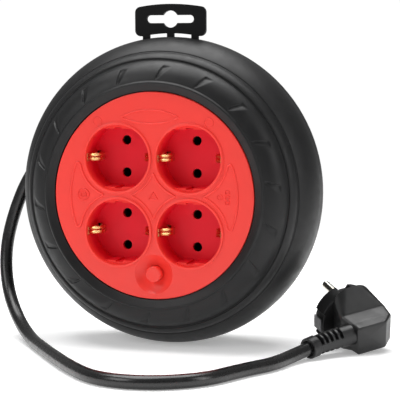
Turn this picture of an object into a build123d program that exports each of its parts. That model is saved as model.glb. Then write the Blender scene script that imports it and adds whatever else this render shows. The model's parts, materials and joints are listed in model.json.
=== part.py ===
from build123d import *
from math import cos, pi, radians, sin, sqrt, tan
import os

# Extension cord reel: a round cassette with a turning four-socket drum.
# Units are millimetres. The origin is on the floor under the middle of the casing,
# +Z is up, the sockets face -Y and the drum turns about the Y axis.

# ---- overall sizes -------------------------------------------------------------
casing_radius = 91.0          # largest radius of the casing, at the seam
casing_depth = 72.0           # front ridge to flat back
wall = 2.5                    # shell wall
axis_height = casing_radius   # the casing stands on its rim

front_y = -casing_depth / 2
back_y = casing_depth / 2
seam_y = 2.5                  # where front and rear shell meet
rim_land = 4.0                # straight stretch of the rim across the seam

# ---- clearances ------------------------------------------------------------------
panel_gap = 0.5               # red panel to the casing's front opening
hub_gap = 0.4                 # winding disc to the casing's rear opening
loose_gap = 0.1               # stacked parts that only touch when they are loaded
tail_gap = 0.4                # cable's sheath to its hole in the core
bore_cut = 0.15               # a thread's bite: pilot bore under the screw's radius
axial_gap = 0.4               # drum collars to the shells
slot_gap = 0.1                # tab legs in their slots
button_gap = 0.2              # button in its hole
screw_gap = 0.2               # screw shank in a clearance hole

# ---- front shell face --------------------------------------------------------------
panel_radius = 60.0
panel_y = front_y + 2.5       # front face of the red panel
opening_radius = panel_radius + panel_gap
ridge_radius = 65.0           # thin raised ring round the panel
band_inner_radius = 66.2
band_outer_radius = 77.0
groove_radius = 78.0
bead_radius = 82.2
lip_back_y = panel_y + 2.1    # inner side of the lip that holds the drum in
band_drop = 1.4               # how far the face's steps lie behind the ridge
band_end_drop = 9.4
groove_drop = 11.2
bead_drop = 16.8
bead_shoulder = 0.8           # step from the bead to the outer band
dent_count = 18
dent_inner_radius = 67.4
dent_outer_radius = 77.0
dent_slant = 32.0
dent_width = 6.0
dent_lift = 1.1               # the dent's axis stands this far in front of the band's chord
dent_first_angle = 8.0

# ---- sockets -------------------------------------------------------------------------
socket_pitch = 43.0
socket_radius = 19.3
socket_depth = 17.0
cup_wall = 1.3
cup_floor = 2.0
cup_gap = 0.1                 # a cup in its hole in the panel
collar_width = 0.8            # the cup's collar behind the panel
collar_height = 1.5
rim_height = 1.0
pin_pitch = 19.0
pin_hole_radius = 2.8
ledge_width = 17.0            # guide ledges at the top and bottom of each well
ledge_height = 2.4
ledge_groove = 4.6
ledge_drop = 1.5              # ledges start this far behind the panel's face
clip_slot_width = 6.0
panel_thickness = 2.5

# ---- reset button and thermal cut-out ----------------------------------------------
button_z = -45.5
button_radius = 4.65
button_top_y = panel_y + 0.2
button_out = 2.5              # how far a tripped button stands out
button_in = 1.0               # how far it can be pressed past rest
dimple_radius = 11.5
dimple_depth = 4.5
cutout_half_width = 6.4
cutout_low = -52.4
cutout_high = -38.5

# ---- drum --------------------------------------------------------------------------
core_radius = 56.0
core_wall = 2.0
flange_radius = 80.5
flange_thickness = 2.0
collar_radius = 64.0
cable_space = 31.5            # clear width between the flanges
front_flange_y = -13.3
hub_radius = 34.0
hub_wall = 2.5
finger_radius = 9.5
finger_offset = 20.0
finger_depth = 9.0

# ---- cable -----------------------------------------------------------------------------
cord_diameter = 7.8
cord_radius = cord_diameter / 2
winding_layers = 3
outlet_wall = 2.8             # wall of the outlet bush round the cord
outlet_gap = 0.9              # cord to the bore of the outlet bush
core_wire_radius = 1.4        # one insulated conductor

# ---- hang tab ----------------------------------------------------------------------------
tab_half_width = 21.7
tab_low_radius = casing_radius + 2.1
tab_high_radius = casing_radius + 19.4
tab_thickness = 3.0
tab_corner = 3.5
slot_length = 29.3
slot_height = 4.6
slot_eye_radius = 5.05
leg_width = 4.0
leg_pitch = 15.0
leg_foot_radius = casing_radius - wall - 2.0

# ---- screws -----------------------------------------------------------------------------
casing_boss_radius = 3.2
casing_boss_circle = 85.2
casing_screw_radius = 1.5
casing_head_radius = 2.7
casing_seat_y = 11.0
small_screw_radius = 1.1
small_head_radius = 2.1
small_head_height = 1.4
post_radius = 3.0
thread_bite = 0.2             # casing screw's bore under its radius
boss_angles = 45.0            # first of the four bosses

# ---- inner levels, along Y ------------------------------------------------------------------
panel_post_end = 8.0          # posts that the drum's lugs sit on
cover_y = 4.0                 # front of the contact cover
cover_thickness = 1.8
lug_height = 2.5
lead_y = 11.5                 # the leads' level behind the cover
tab_end_y = 9.0               # solder tabs end here
cutout_back = -6.0
partition_y = -18.6           # wall that the button's spring rests on

# ---- contacts ---------------------------------------------------------------------------------
tulip_outer = 3.1
tulip_bore = 2.55
bus_thickness = 0.8
bus_half_width = 2.6
live_y = 2.6
neutral_y = 0.4
link_offset = 7.0             # link strips stand this far from the middle
clip_width = 5.0
clip_thickness = 0.6
clip_top = 3.2                # clip's folded end behind the panel's face
clamp_z = 29.5                # the cable clamp and the sheathed end behind it
tail_x = -24.0
clamp_screw_offset = 6.6
clamp_bar_height = 2.0

# ---- plug (CEE 7/7, angled) ---------------------------------------------------------------
plug_heading = 220.0          # direction of the cord out of the plug, about +Z from +X
cord_heading = 240.0          # direction of the cord out of the bent sleeve
cord_end_height = 6.4         # middle of the cord at the sleeve
plug_dip = 10.0               # below the horizontal
plug_roll = 19.0              # pins tipped up out of the horizontal
plug_face_radius = 18.6
plug_face_depth = 9.0
plug_depth = 31.5             # pin face to the flat rear face
plug_sleeve_z = -24.0         # the sleeve's axis, behind the pin face
sleeve_length = 30.0
sleeve_root = 8.0             # from the plug's middle to the sleeve
sleeve_straight = 5.0         # the sleeve's straight stretch before it bends
sleeve_inset = 6.0            # how far it reaches into the plug's body
rib_slots = 5
rib_pitch = 4.0
rib_width = 1.8
rib_reach = 5.4
sleeve_root_radius = 6.4
sleeve_end_radius = 5.7
plug_pin_radius = 2.4
plug_pin_length = 19.0
plug_bridge_radius = 14.5
plug_bridge_depth = 4.0
guide_groove_width = 6.4
guide_groove_depth = 2.6
earth_width = 8.0


# ================= helpers =================
def reel(shape):
    """Moves a shape from the reel's axis to its height above the floor."""
    return Pos(0, 0, axis_height) * shape


def ring(outer, inner, y0, y1):
    """A ring about the reel's axis, from y0 to y1."""
    flat = Circle(outer) - Circle(inner) if inner > 0 else Circle(outer)
    return extrude(Plane.XZ.offset(-y0) * flat, y0 - y1)


def rod(x, z, radius, y0, y1):
    """A round bar along Y at (x, z)."""
    return extrude(Plane.XZ.offset(-y0) * Pos(x, z) * Circle(radius), y0 - y1)


def block(x0, x1, y0, y1, z0, z1):
    """A box between two corners."""
    middle = Pos((x0 + x1) / 2, (y0 + y1) / 2, (z0 + z1) / 2)
    return middle * Box(abs(x1 - x0), abs(y1 - y0), abs(z1 - z0))


def turned(outline):
    """Turns a closed outline in (radius, y) about the reel's axis."""
    return revolve(Plane.XY * make_face(outline), Axis.Y)


def around(count, first=0.0):
    """Evenly spaced angles, in degrees."""
    return [first + 360.0 * index / count for index in range(count)]


def on_circle(radius, angle):
    """The (x, z) of a point at an angle, measured from +X towards +Z."""
    return radius * cos(radians(angle)), radius * sin(radians(angle))


def turn_y(shape, angle):
    """Turns a shape about the reel's axis, from +X towards +Z."""
    return shape.rotate(Axis.Y, -angle)


def screw(x, z, head_y, tip_y, radius, head_radius, head_height):
    """A pan-head screw along Y whose head seats at head_y and whose tip points to -Y."""
    head = rod(x, z, head_radius, head_y, head_y + head_height)
    shank = rod(x, z, radius, tip_y, head_y)
    cross = block(x - 0.35, x + 0.35, head_y + 0.6, head_y + 3, z - 1.3, z + 1.3)
    bar = block(x - 1.3, x + 1.3, head_y + 0.6, head_y + 3, z - 0.35, z + 0.35)
    return head + shank - cross - bar


def small_screw(x, z, head_y, tip_y):
    """One of the reel's small self-tapping screws."""
    shank = small_screw_radius - bore_cut
    return screw(x, z, head_y, tip_y, shank, small_head_radius, small_head_height)


# ================= shells =================
rim_start = seam_y - rim_land / 2
rim_end = seam_y + rim_land / 2
bead_end = bead_radius + bead_shoulder
bulge = casing_radius - bead_end
bulge_depth = rim_start - (front_y + bead_drop)
front_arc_radius = (bulge ** 2 + bulge_depth ** 2) / (2 * bulge)
front_arc_centre = (casing_radius - front_arc_radius, rim_start)
rear_arc_radius = back_y - rim_end
rear_arc_centre = (casing_radius - rear_arc_radius, rim_end)


def arc_y(centre, radius, r, side):
    """Where a shell arc of the given radius stands at distance r from the axis."""
    return centre[1] + side * sqrt(radius ** 2 - (r - centre[0]) ** 2)


def front_outline():
    """The front shell's section: face, ridge, dented band, groove, bead and outer band."""
    band_y = front_y + band_drop
    groove_y = front_y + groove_drop
    bead_end_y = arc_y(front_arc_centre, front_arc_radius, bead_end, -1)
    inner_arc = front_arc_radius - wall
    inner_start = 76.0
    inner_start_y = arc_y(front_arc_centre, inner_arc, inner_start, -1)
    outer = Polyline((opening_radius, panel_y - 0.1), (ridge_radius - 0.6, front_y + 0.3))
    ridge = ThreePointArc(outer @ 1, (ridge_radius, front_y), (ridge_radius + 0.6, front_y + 0.3))
    step = Line(ridge @ 1, (band_inner_radius, band_y))
    band_mid = ((band_inner_radius + band_outer_radius) / 2 + 0.9, band_y + 2.7)
    band = ThreePointArc(step @ 1, band_mid, (band_outer_radius, front_y + band_end_drop))
    groove = Polyline(band @ 1, (groove_radius, groove_y), (groove_radius + 0.9, groove_y - 0.6))
    bead = ThreePointArc(groove @ 1, (bead_radius - 0.7, groove_y + 2.4), (bead_radius, groove_y + 5.0))
    notch = Line(bead @ 1, (bead_end, bead_end_y))
    mid_r = (bead_end + casing_radius) / 2 + 1.3
    mid = (mid_r, arc_y(front_arc_centre, front_arc_radius, mid_r, -1))
    outer_band = ThreePointArc(notch @ 1, mid, (casing_radius, rim_start))
    land = Line(outer_band @ 1, (casing_radius, seam_y))
    seam = Line(land @ 1, (casing_radius - wall, seam_y))
    inner_land = Line(seam @ 1, (casing_radius - wall, rim_start))
    inner_mid = 85.0
    inner = ThreePointArc(
        inner_land @ 1,
        (inner_mid, arc_y(front_arc_centre, inner_arc, inner_mid, -1)),
        (inner_start, inner_start_y),
    )
    lip = (collar_radius + 3.0, lip_back_y)
    floor = Polyline(inner @ 1, lip, (opening_radius, lip_back_y), outer @ 0)
    face = outer + ridge + step + band + groove + bead + notch + outer_band
    return face + land + seam + inner_land + inner + floor


def band_point(r):
    """A point of the dented band at radius r, on its chord."""
    share = (r - band_inner_radius) / (band_outer_radius - band_inner_radius)
    return front_y + band_drop + share * (band_end_drop - band_drop)


def dent():
    """A shallow slanted dent: a thin cone whose side sinks into the band."""
    inner_y = band_point(dent_inner_radius) - dent_lift
    outer_y = band_point(dent_outer_radius) - dent_lift
    start = Vector(dent_inner_radius, inner_y, 0)
    reach = dent_outer_radius - dent_inner_radius
    end = Vector(dent_outer_radius, outer_y, -reach * tan(radians(dent_slant)))
    way = (end - start).normalized()
    plane = Plane(origin=start, z_dir=way)
    length = (end - start).length
    outer_face = plane.offset(length) * Circle(dent_width / 2)
    inner_face = plane * Circle(0.4)
    return loft([inner_face, outer_face])


def front_shell():
    """Front half of the casing with its ridge, dents, screw bosses and tab slots."""
    shell = turned(front_outline())
    cutter = dent()
    for angle in around(dent_count, dent_first_angle):
        shell -= turn_y(cutter, angle)
    for angle in around(4, boss_angles):
        x, z = on_circle(casing_boss_circle, angle)
        shell += rod(x, z, casing_boss_radius, seam_y - 9, seam_y) & casing_envelope()
        shell -= rod(x, z, casing_screw_radius - thread_bite, seam_y - 8, seam_y + 1)
    return reel(shell - tab_slots())


def casing_envelope():
    """The solid inside the casing's outer surface near the rim."""
    low = 70.0
    low_y = arc_y(front_arc_centre, front_arc_radius, low, -1)
    front_mid = (86.0, arc_y(front_arc_centre, front_arc_radius, 86.0, -1))
    rear_mid = (84.0, arc_y(rear_arc_centre, rear_arc_radius, 84.0, 1))
    rear_low = (low, arc_y(rear_arc_centre, rear_arc_radius, low, 1))
    front_arc = ThreePointArc((low, low_y), front_mid, (casing_radius, rim_start))
    land = Line((casing_radius, rim_start), (casing_radius, rim_end))
    rear_arc = ThreePointArc((casing_radius, rim_end), rear_mid, rear_low)
    return turned(front_arc + land + rear_arc + Line(rear_low, (low, low_y)))


def rear_outline():
    """The rear shell's section: rim, quarter-round side and flat back."""
    inner_arc = rear_arc_radius - wall
    side = 0.70710678
    cx, cy = rear_arc_centre
    land = Line((casing_radius, seam_y), (casing_radius, cy))
    outer_mid = (cx + rear_arc_radius * side, cy + rear_arc_radius * side)
    outer = ThreePointArc(land @ 1, outer_mid, (cx, back_y))
    back = Polyline(outer @ 1, (hub_radius + hub_gap, back_y), (hub_radius + hub_gap, back_y - wall))
    inside = Line(back @ 1, (cx, back_y - wall))
    inner_mid = (cx + inner_arc * side, cy + inner_arc * side)
    inner = ThreePointArc(inside @ 1, inner_mid, (casing_radius - wall, cy))
    rim = Polyline(inner @ 1, (casing_radius - wall, seam_y), (casing_radius, seam_y))
    return land + outer + back + inside + inner + rim


def rear_shell():
    """Rear half of the casing with the winding opening, screw bosses and cable outlet."""
    shell = turned(rear_outline())
    for groove_r in (46.0, 54.0):
        shell -= ring(groove_r + 0.6, groove_r - 0.6, back_y - 0.6, back_y + 1)
    for angle in around(4, boss_angles):
        x, z = on_circle(casing_boss_circle, angle)
        shell += rod(x, z, casing_boss_radius + 1.0, seam_y, back_y) & casing_envelope()
        shell -= rod(x, z, casing_screw_radius + screw_gap, seam_y - 1, back_y)
        shell -= rod(x, z, casing_head_radius + screw_gap, casing_seat_y, back_y + 1)
    shell -= outlet_blank()
    return reel(shell - tab_slots())


def casing_screws():
    """Four self-tapping screws that join the shells from the back."""
    group = []
    for angle in around(4, boss_angles):
        x, z = on_circle(casing_boss_circle, angle)
        tip = seam_y - 7.0
        shank_radius = casing_screw_radius - thread_bite
        group.append(screw(x, z, casing_seat_y, tip, shank_radius, casing_head_radius, 2.0))
    return reel(Compound(group))


# ================= hang tab =================
def tab_slots():
    """Slots through the rim for the tab's legs and its inner bar."""
    y0 = seam_y - tab_thickness / 2 - slot_gap
    y1 = seam_y + tab_thickness / 2 + slot_gap
    half = leg_width / 2 + slot_gap
    cut = []
    for place in (-leg_pitch, 0.0, leg_pitch):
        low, high = casing_radius - wall - 4, casing_radius + 3
        cut.append(block(place - half, place + half, y0, y1, low, high))
    return cut


def hang_tab():
    """Euro-slot tab on three legs that pass through the rim, with a bar behind it."""
    plate = Circle(tab_high_radius) - Circle(tab_low_radius)
    window = Pos(0, (tab_low_radius + tab_high_radius) / 2) * Rectangle(2 * tab_half_width, 40)
    plate = plate & window
    plate = fillet(plate.vertices(), tab_corner)
    slot_height_z = (tab_low_radius + tab_high_radius) / 2 - 0.3
    plate -= Pos(0, slot_height_z) * SlotOverall(slot_length, slot_height)
    plate -= Pos(0, slot_height_z) * Circle(slot_eye_radius)
    for place in (-leg_pitch, 0.0, leg_pitch):
        top = tab_low_radius + 1.0
        height = top - leg_foot_radius
        plate += Pos(place, leg_foot_radius + height / 2) * Rectangle(leg_width, height)
    bar_outer = casing_radius - wall - slot_gap
    bar_window = Pos(0, bar_outer) * Rectangle(2 * leg_pitch + 8, 12)
    plate += (Circle(bar_outer - 1.0) - Circle(bar_outer - 2.6)) & bar_window
    solid = extrude(Plane.XZ.offset(-(seam_y - tab_thickness / 2)) * plate, -tab_thickness)
    return reel(solid)


# ================= cable outlet =================
outlet_y = 12.5
outlet_way = Vector(-0.64, 0, -0.768375).normalized()
cord_start = Vector(-79.6, outlet_y, 117.2)
outlet_middle = cord_start + outlet_way * 14.0


def outlet_blank():
    """The round hole of the outlet bush through the rim, about the cord's way out."""
    plane = Plane(origin=outlet_middle - Vector(0, 0, axis_height), z_dir=outlet_way)
    return extrude(plane.offset(-24) * Circle(cord_radius + outlet_wall), 42)


def cable_guide():
    """Outlet bush: a collar moulded to the rim's curve, with a bore for the cord."""
    cx, cy = rear_arc_centre
    low = 70.0
    outside = rear_arc_radius + 1.2
    inside = rear_arc_radius - wall - 1.0
    outer_end = (low, cy + sqrt(outside ** 2 - (low - cx) ** 2))
    outer_mid_r = 85.0
    outer_mid = (outer_mid_r, cy + sqrt(outside ** 2 - (outer_mid_r - cx) ** 2))
    inner_end = (low, cy + sqrt(inside ** 2 - (low - cx) ** 2))
    inner_mid = (outer_mid_r - 2, cy + sqrt(inside ** 2 - (outer_mid_r - 2 - cx) ** 2))
    first = Line((cx + inside, cy), (cx + outside, cy))
    over = ThreePointArc(first @ 1, outer_mid, outer_end)
    side = Line(outer_end, inner_end)
    under = ThreePointArc(inner_end, inner_mid, first @ 0)
    skin = turned(first + over + side + under)
    plane = Plane(origin=outlet_middle - Vector(0, 0, axis_height), z_dir=outlet_way)
    body = outlet_blank() & skin
    bore = extrude(plane.offset(-20) * Circle(cord_radius + outlet_gap), 50)
    return reel(body - bore)


# ================= red socket panel =================
def socket_places():
    """Centres of the four sockets, from the reel's axis."""
    half = socket_pitch / 2
    return [(x, z) for z in (half, -half) for x in (-half, half)]


def socket_ledges(x, z):
    """The two guide ledges of one well, each with a small groove."""
    start, end = panel_y + ledge_drop, panel_y + socket_depth + 0.2
    well = rod(x, z, socket_radius + 0.2, start, end)
    half, groove_half = ledge_width / 2, ledge_groove / 2
    parts = None
    for side in (1, -1):
        edge = z + side * (socket_radius - ledge_height)
        low, high = sorted((edge, z + side * (socket_radius + 1)))
        lump = block(x - half, x + half, start, end, low, high)
        cut = block(x - groove_half, x + groove_half, panel_y, end - 0.2, edge - 0.8, edge + 0.8)
        lump = (lump & well) - cut
        parts = lump if parts is None else parts + lump
    return parts


def earth_slot_cuts(x, z):
    """Slots in the floor of one well for the two earth clips."""
    cuts = []
    for side in (1, -1):
        middle = x + side * (socket_radius - 1.9)
        y0 = panel_y + socket_depth - 1
        half = clip_slot_width / 2
        cuts.append(block(middle - 1.4, middle + 1.4, y0, y0 + 5, z - half, z + half))
    return cuts


def panel_posts():
    """Places of the posts for the panel's own screws and for the contact cover."""
    outer = [on_circle(49.4, angle) for angle in (0, 90, 180)]
    inner = [on_circle(40.4, angle) for angle in (0, 90, 180)] + [(0.0, 0.0)]
    return outer, inner



cup_outer = socket_radius + cup_wall
collar_y = panel_y + panel_thickness + loose_gap
floor_back_y = panel_y + socket_depth + cup_floor


def socket_cups():
    """Four socket inserts, each pushed into the panel from behind up to its collar."""
    group = []
    for x, z in socket_places():
        cup = rod(x, z, cup_outer, panel_y - rim_height, floor_back_y)
        cup += rod(x, z, cup_outer + collar_width, collar_y, collar_y + collar_height)
        cup -= rod(x, z, socket_radius, panel_y - 2, panel_y + socket_depth)
        cup += socket_ledges(x, z)
        for side in (1, -1):
            cup -= rod(x, z + side * pin_pitch / 2, pin_hole_radius, panel_y + 5, floor_back_y + 1)
        for cut in earth_slot_cuts(x, z):
            cup -= cut
        group.append(cup)
    return reel(Compound(group))


def socket_panel():
    """Red face with four holes for the socket cups, and the button's dimple."""
    panel = ring(panel_radius, 0, panel_y, panel_y + panel_thickness)
    panel = fillet(panel.edges().filter_by(GeomType.CIRCLE).sort_by(Axis.Y)[:1], 0.5)
    dimple_back = panel_y + dimple_depth + 2.0
    inside = ring(skirt_inner - 0.4, 0, panel_y, 0)
    panel += rod(0, button_z, dimple_radius + 1.0, panel_y, dimple_back) & inside
    outer, inner = panel_posts()
    for x, z in outer:
        panel += rod(x, z, post_radius, panel_y + panel_thickness, panel_post_end)
    for x, z in inner:
        panel += rod(x, z, post_radius, panel_y + panel_thickness, cover_y)
    for x, z in socket_places():
        panel -= rod(x, z, cup_outer + cup_gap, panel_y - 2, panel_y + socket_depth)
        panel -= rod(x, z, cup_outer + collar_width + cup_gap, collar_y - loose_gap, panel_y + socket_depth)
    for x, z in outer:
        panel -= rod(x, z, small_screw_radius - bore_cut, panel_post_end - 9, panel_post_end + 1)
    for x, z in inner:
        panel -= rod(x, z, small_screw_radius - bore_cut, cover_y - 9, cover_y + 1)
    dish_radius = (dimple_radius ** 2 + dimple_depth ** 2) / (2 * dimple_depth)
    dish = Pos(0, panel_y + dimple_depth - dish_radius, button_z) * Sphere(dish_radius)
    panel -= dish & rod(0, button_z, dimple_radius, panel_y - 3, panel_y + dimple_depth + 1)
    panel -= rod(0, button_z, button_radius + button_gap, panel_y, panel_y + 9)
    return reel(panel)


# ================= drum =================
tail_y = cover_y + cover_thickness + cord_radius + 0.3
front_flange_back = front_flange_y + flange_thickness
rear_flange_front = front_flange_back + cable_space
rear_flange_back = rear_flange_front + flange_thickness
core_front_y = panel_y + panel_thickness
skirt_radius = 60.6
skirt_inner = skirt_radius - core_wall
skirt_back = -24.0
core_inner = core_radius - core_wall
flange_boss_circle = 50.6


def drum_core():
    """Drum body: front collar, skirt, core cylinder, front flange and screw lugs."""
    core = ring(core_radius, core_inner, skirt_back, rear_flange_front)
    core += ring(skirt_radius, skirt_inner, core_front_y, skirt_back + core_wall)
    core += ring(skirt_radius, core_inner, skirt_back, skirt_back + core_wall)
    core += ring(collar_radius, skirt_inner, core_front_y, core_front_y + 2.0)
    core += ring(flange_radius, core_inner, front_flange_y, front_flange_back)
    outer, _ = panel_posts()
    inside = ring(core_radius - 0.5, 0, panel_post_end, panel_post_end + lug_height)
    for x, z in outer:
        lug_back = panel_post_end + lug_height
        core += rod(x, z, post_radius + 2.0, panel_post_end, lug_back) & inside
        core -= rod(x, z, small_screw_radius + screw_gap, panel_post_end - 1, lug_back + 1)
    boss_zone = ring(core_radius - 0.5, 0, rear_flange_front - 8, rear_flange_front)
    for angle in around(4, boss_angles):
        x, z = on_circle(flange_boss_circle, angle)
        core += rod(x, z, post_radius + 0.6, rear_flange_front - 8, rear_flange_front) & boss_zone
        core -= rod(x, z, small_screw_radius - bore_cut, rear_flange_front - 7, rear_flange_front + 1)
    hole_low, hole_high = core_inner - 20, core_radius + 4
    hole = ((tail_x, tail_y, hole_low), (tail_x, tail_y, hole_high))
    core -= rod_between(*hole, cord_radius + tail_gap)
    return reel(core)


def rear_flange():
    """Rear flange of the drum with the winding disc and its finger hollow."""
    cup_back = back_y - 0.6
    shoulder_y = back_y - wall - axial_gap
    flange = ring(flange_radius, 0, rear_flange_front, rear_flange_back)
    flange += ring(hub_radius, 0, rear_flange_back, cup_back)
    flange += ring(hub_radius + 3.0, 0, rear_flange_back, shoulder_y)
    flange -= ring(hub_radius - hub_wall, 0, rear_flange_front - 1, cup_back - hub_wall)
    pocket = rod(finger_offset, 0, finger_radius + hub_wall, cup_back - finger_depth - hub_wall, cup_back)
    flange += pocket
    flange -= rod(finger_offset, 0, finger_radius, cup_back - finger_depth, cup_back + 1)
    rim_edges = flange.edges().filter_by(GeomType.CIRCLE).group_by(Axis.Y)[-1]
    flange = fillet(rim_edges, 0.8)
    for angle in around(4, boss_angles):
        x, z = on_circle(flange_boss_circle, angle)
        flange -= rod(x, z, small_screw_radius + screw_gap, rear_flange_front - 1, rear_flange_back + 1)
    return reel(flange)


def wound_cable():
    """Outer shape of the cable wound on the drum, in three layers."""
    start = core_radius + loose_gap
    outer = start + winding_layers * cord_diameter
    return reel(ring(outer, start, front_flange_back + loose_gap, rear_flange_front - loose_gap))


# ================= contacts =================


def contact_sleeve(x, z, end_y):
    """A split tulip contact that grips one plug pin."""
    tube = rod(x, z, tulip_outer, floor_back_y + 1.0, end_y)
    tube -= rod(x, z, tulip_bore, floor_back_y, end_y - 0.8)
    slit = block(x - 0.5, x + 0.5, floor_back_y, end_y - 3, z - 5, z + 5)
    return tube - slit


def busbar(pin_side, plane_y, link_x):
    """Brass strip that joins four tulips: two rows and a link between them."""
    half = socket_pitch / 2
    rows = [half + pin_side * pin_pitch / 2, -half + pin_side * pin_pitch / 2]
    bar = None
    reach = half + tulip_outer
    back = plane_y + bus_thickness
    for z in rows:
        strip = block(-reach, reach, plane_y, back, z - bus_half_width, z + bus_half_width)
        bar = strip if bar is None else bar + strip
    low, high = rows[1] - bus_half_width, rows[0] + bus_half_width
    bar += block(link_x - 2.0, link_x + 2.0, plane_y, back, low, high)
    for z in rows:
        for x in (-half, half):
            bar += contact_sleeve(x, z, plane_y)
    return bar


def live_busbar():
    """Live contacts of the four sockets, with a solder tab through the cover."""
    bar = busbar(1, live_y, link_offset)
    tab = block(link_offset - 2.0, link_offset + 2.0, live_y, tab_end_y, 17.0, 17.8)
    return reel(bar + tab)


def neutral_busbar():
    """Neutral contacts of the four sockets, with a solder tab through the cover."""
    bar = busbar(-1, neutral_y, -link_offset)
    tab = block(-link_offset - 2.0, -link_offset + 2.0, neutral_y, tab_end_y, -17.8, -17.0)
    return reel(bar + tab)


earth_y = floor_back_y + loose_gap


def earth_clip(x, z, side):
    """One earth clip: a blade up the well's wall, folded over towards the middle."""
    foot_x = x + side * (socket_radius - 1.6)
    half = clip_width / 2
    top_y = panel_y + clip_top
    outer, inner = foot_x, foot_x - side * clip_thickness
    blade = block(outer, inner, top_y, earth_y + 0.2, z - half, z + half)
    fold = block(outer, foot_x - side * 3.0, top_y - clip_thickness, top_y, z - half, z + half)
    lip = block(foot_x - side * 2.4, foot_x - side * 3.0, top_y, top_y + 6.0, z - half, z + half)
    return blade + fold + lip


def earth_bar():
    """Earth strip behind the wells with the eight clips and a solder tab."""
    half = socket_pitch / 2
    reach = half + socket_radius - 1.6
    bar = None
    for z in (half, -half):
        strip = block(-reach, reach, earth_y, earth_y + bus_thickness, z - 2.4, z + 2.4)
        bar = strip if bar is None else bar + strip
    bar += block(-2.0, 2.0, earth_y, earth_y + bus_thickness, 3.6, half)
    bar += block(2.0, 7.0, earth_y, earth_y + bus_thickness, 3.6, 7.6)
    bar += block(3.6, 7.6, earth_y, earth_y + bus_thickness, -half, 5.6)
    for x, z in socket_places():
        for side in (1, -1):
            bar += earth_clip(x, z, side)
    bar += block(-2.0, 2.0, earth_y, tab_end_y, half + 0.6, half + 1.4)
    return reel(bar)


def contact_cover():
    """Insulating cover over the contacts, with slots for the solder tabs."""
    cover = ring(43.8, 0, cover_y, cover_y + cover_thickness)
    outer, inner = panel_posts()
    for x, z in outer:
        cover -= rod(x, z, post_radius + 0.3, cover_y - 1, cover_y + 4)
    for x, z in inner:
        cover -= rod(x, z, small_screw_radius + screw_gap, cover_y - 1, cover_y + 4)
    cover -= block(-8.5, 8.5, cover_y - 1, cover_y + 4, -50, -37.5)
    half = socket_pitch / 2
    for x, z in ((link_offset, 17.4), (-link_offset, -17.4), (0.0, half + 1.0)):
        cover -= block(x - 2.3, x + 2.3, cover_y - 1, cover_y + 4, z - 0.7, z + 0.7)
    x, z = clamp_place
    for side in (-1, 1):
        boss_x = x + side * clamp_screw_offset
        cover += rod(boss_x, z, 2.6, cover_y + cover_thickness, tail_y - 1.0)
        cover -= rod(boss_x, z, small_screw_radius - bore_cut, cover_y + 1.0, tail_y)
    return reel(cover)


# ================= cable entry inside the drum =================
clamp_place = (tail_x, clamp_z)
sheath_end = Vector(tail_x, tail_y, clamp_z - 4.5)


def cable_tail():
    """Sheathed end of the cable, from the winding through the core to its clamp."""
    top_x, top_z = sheath_end.X, 48.5
    return reel(rod_between((top_x, tail_y, top_z), tuple(sheath_end), cord_radius))


def rod_between(start, end, radius):
    """A straight round bar between two points."""
    a, b = Vector(*start), Vector(*end)
    plane = Plane(origin=a, z_dir=(b - a).normalized())
    return extrude(plane * Circle(radius), (b - a).length)


def cord_clamp():
    """Bar that clamps the cable's sheath to two bosses of the contact cover."""
    x, z = clamp_place
    y0 = tail_y - 1.0
    bar_back = tail_y + cord_radius + clamp_bar_height
    bar = block(x - 9.4, x + 9.4, y0, bar_back, z - 2.6, z + 2.6)
    bar -= rod_between((x, tail_y, z - 4), (x, tail_y, z + 4), cord_radius)
    bar -= block(x - cord_radius, x + cord_radius, y0 - 1, tail_y, z - 4, z + 4)
    for side in (-1, 1):
        place = x + side * clamp_screw_offset
        bar -= rod(place, z, small_screw_radius + screw_gap, y0 - 1, tail_y + 9)
    return reel(bar)


def clamp_screws():
    """Two screws of the cable clamp."""
    x, z = clamp_place
    head_y = tail_y + cord_radius + clamp_bar_height
    group = []
    for side in (-1, 1):
        place = x + side * clamp_screw_offset
        group.append(small_screw(place, z, head_y, cover_y + 2.5))
    return reel(Compound(group))


def panel_screws():
    """Three screws that hold the red panel to the drum body."""
    outer, _ = panel_posts()
    seat = panel_post_end + lug_height
    group = [small_screw(x, z, seat, seat - 9) for x, z in outer]
    return reel(Compound(group))


def cover_screws():
    """Four screws that hold the contact cover to the panel's posts."""
    _, inner = panel_posts()
    seat = cover_y + cover_thickness
    group = [small_screw(x, z, seat, seat - 8) for x, z in inner]
    return reel(Compound(group))


def flange_screws():
    """Four screws that hold the rear flange to the drum body."""
    group = []
    for angle in around(4, boss_angles):
        x, z = on_circle(flange_boss_circle, angle)
        group.append(small_screw(x, z, rear_flange_back, rear_flange_back - 8))
    return reel(Compound(group))


def wire(points):
    """One insulated conductor: straight runs joined by bends."""
    path = FilletPolyline(*points, radius=3.0)
    start_way = path % 0
    section = Plane(origin=path @ 0, z_dir=start_way) * Circle(core_wire_radius)
    return sweep(section, path=path)


def live_lead():
    """Live conductor from the sheath's end to the thermal cut-out."""
    start = sheath_end + Vector(-2.0, 0, 0)
    down = (start.X, start.Y, 18)
    points = [start, down, (-30, lead_y, 0), (-20, lead_y, -38), (-4.6, lead_y, -47.0)]
    return reel(wire(points))


def switched_lead():
    """Conductor from the thermal cut-out to the live contacts."""
    start, end = (4.6, lead_y, -44.0), (9.2, lead_y - 4.0, 19.4)
    points = [start, (16, lead_y, -38), (24, lead_y, -8), (20, lead_y, 14), end]
    return reel(wire(points))


def neutral_lead():
    """Neutral conductor from the sheath's end to the neutral contacts."""
    start = sheath_end + Vector(1.0, 2.0, 0)
    points = [start, (start.X, start.Y, 16), (-20, lead_y, -6), (-9.2, lead_y - 4.0, -15.4)]
    return reel(wire(points))


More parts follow.
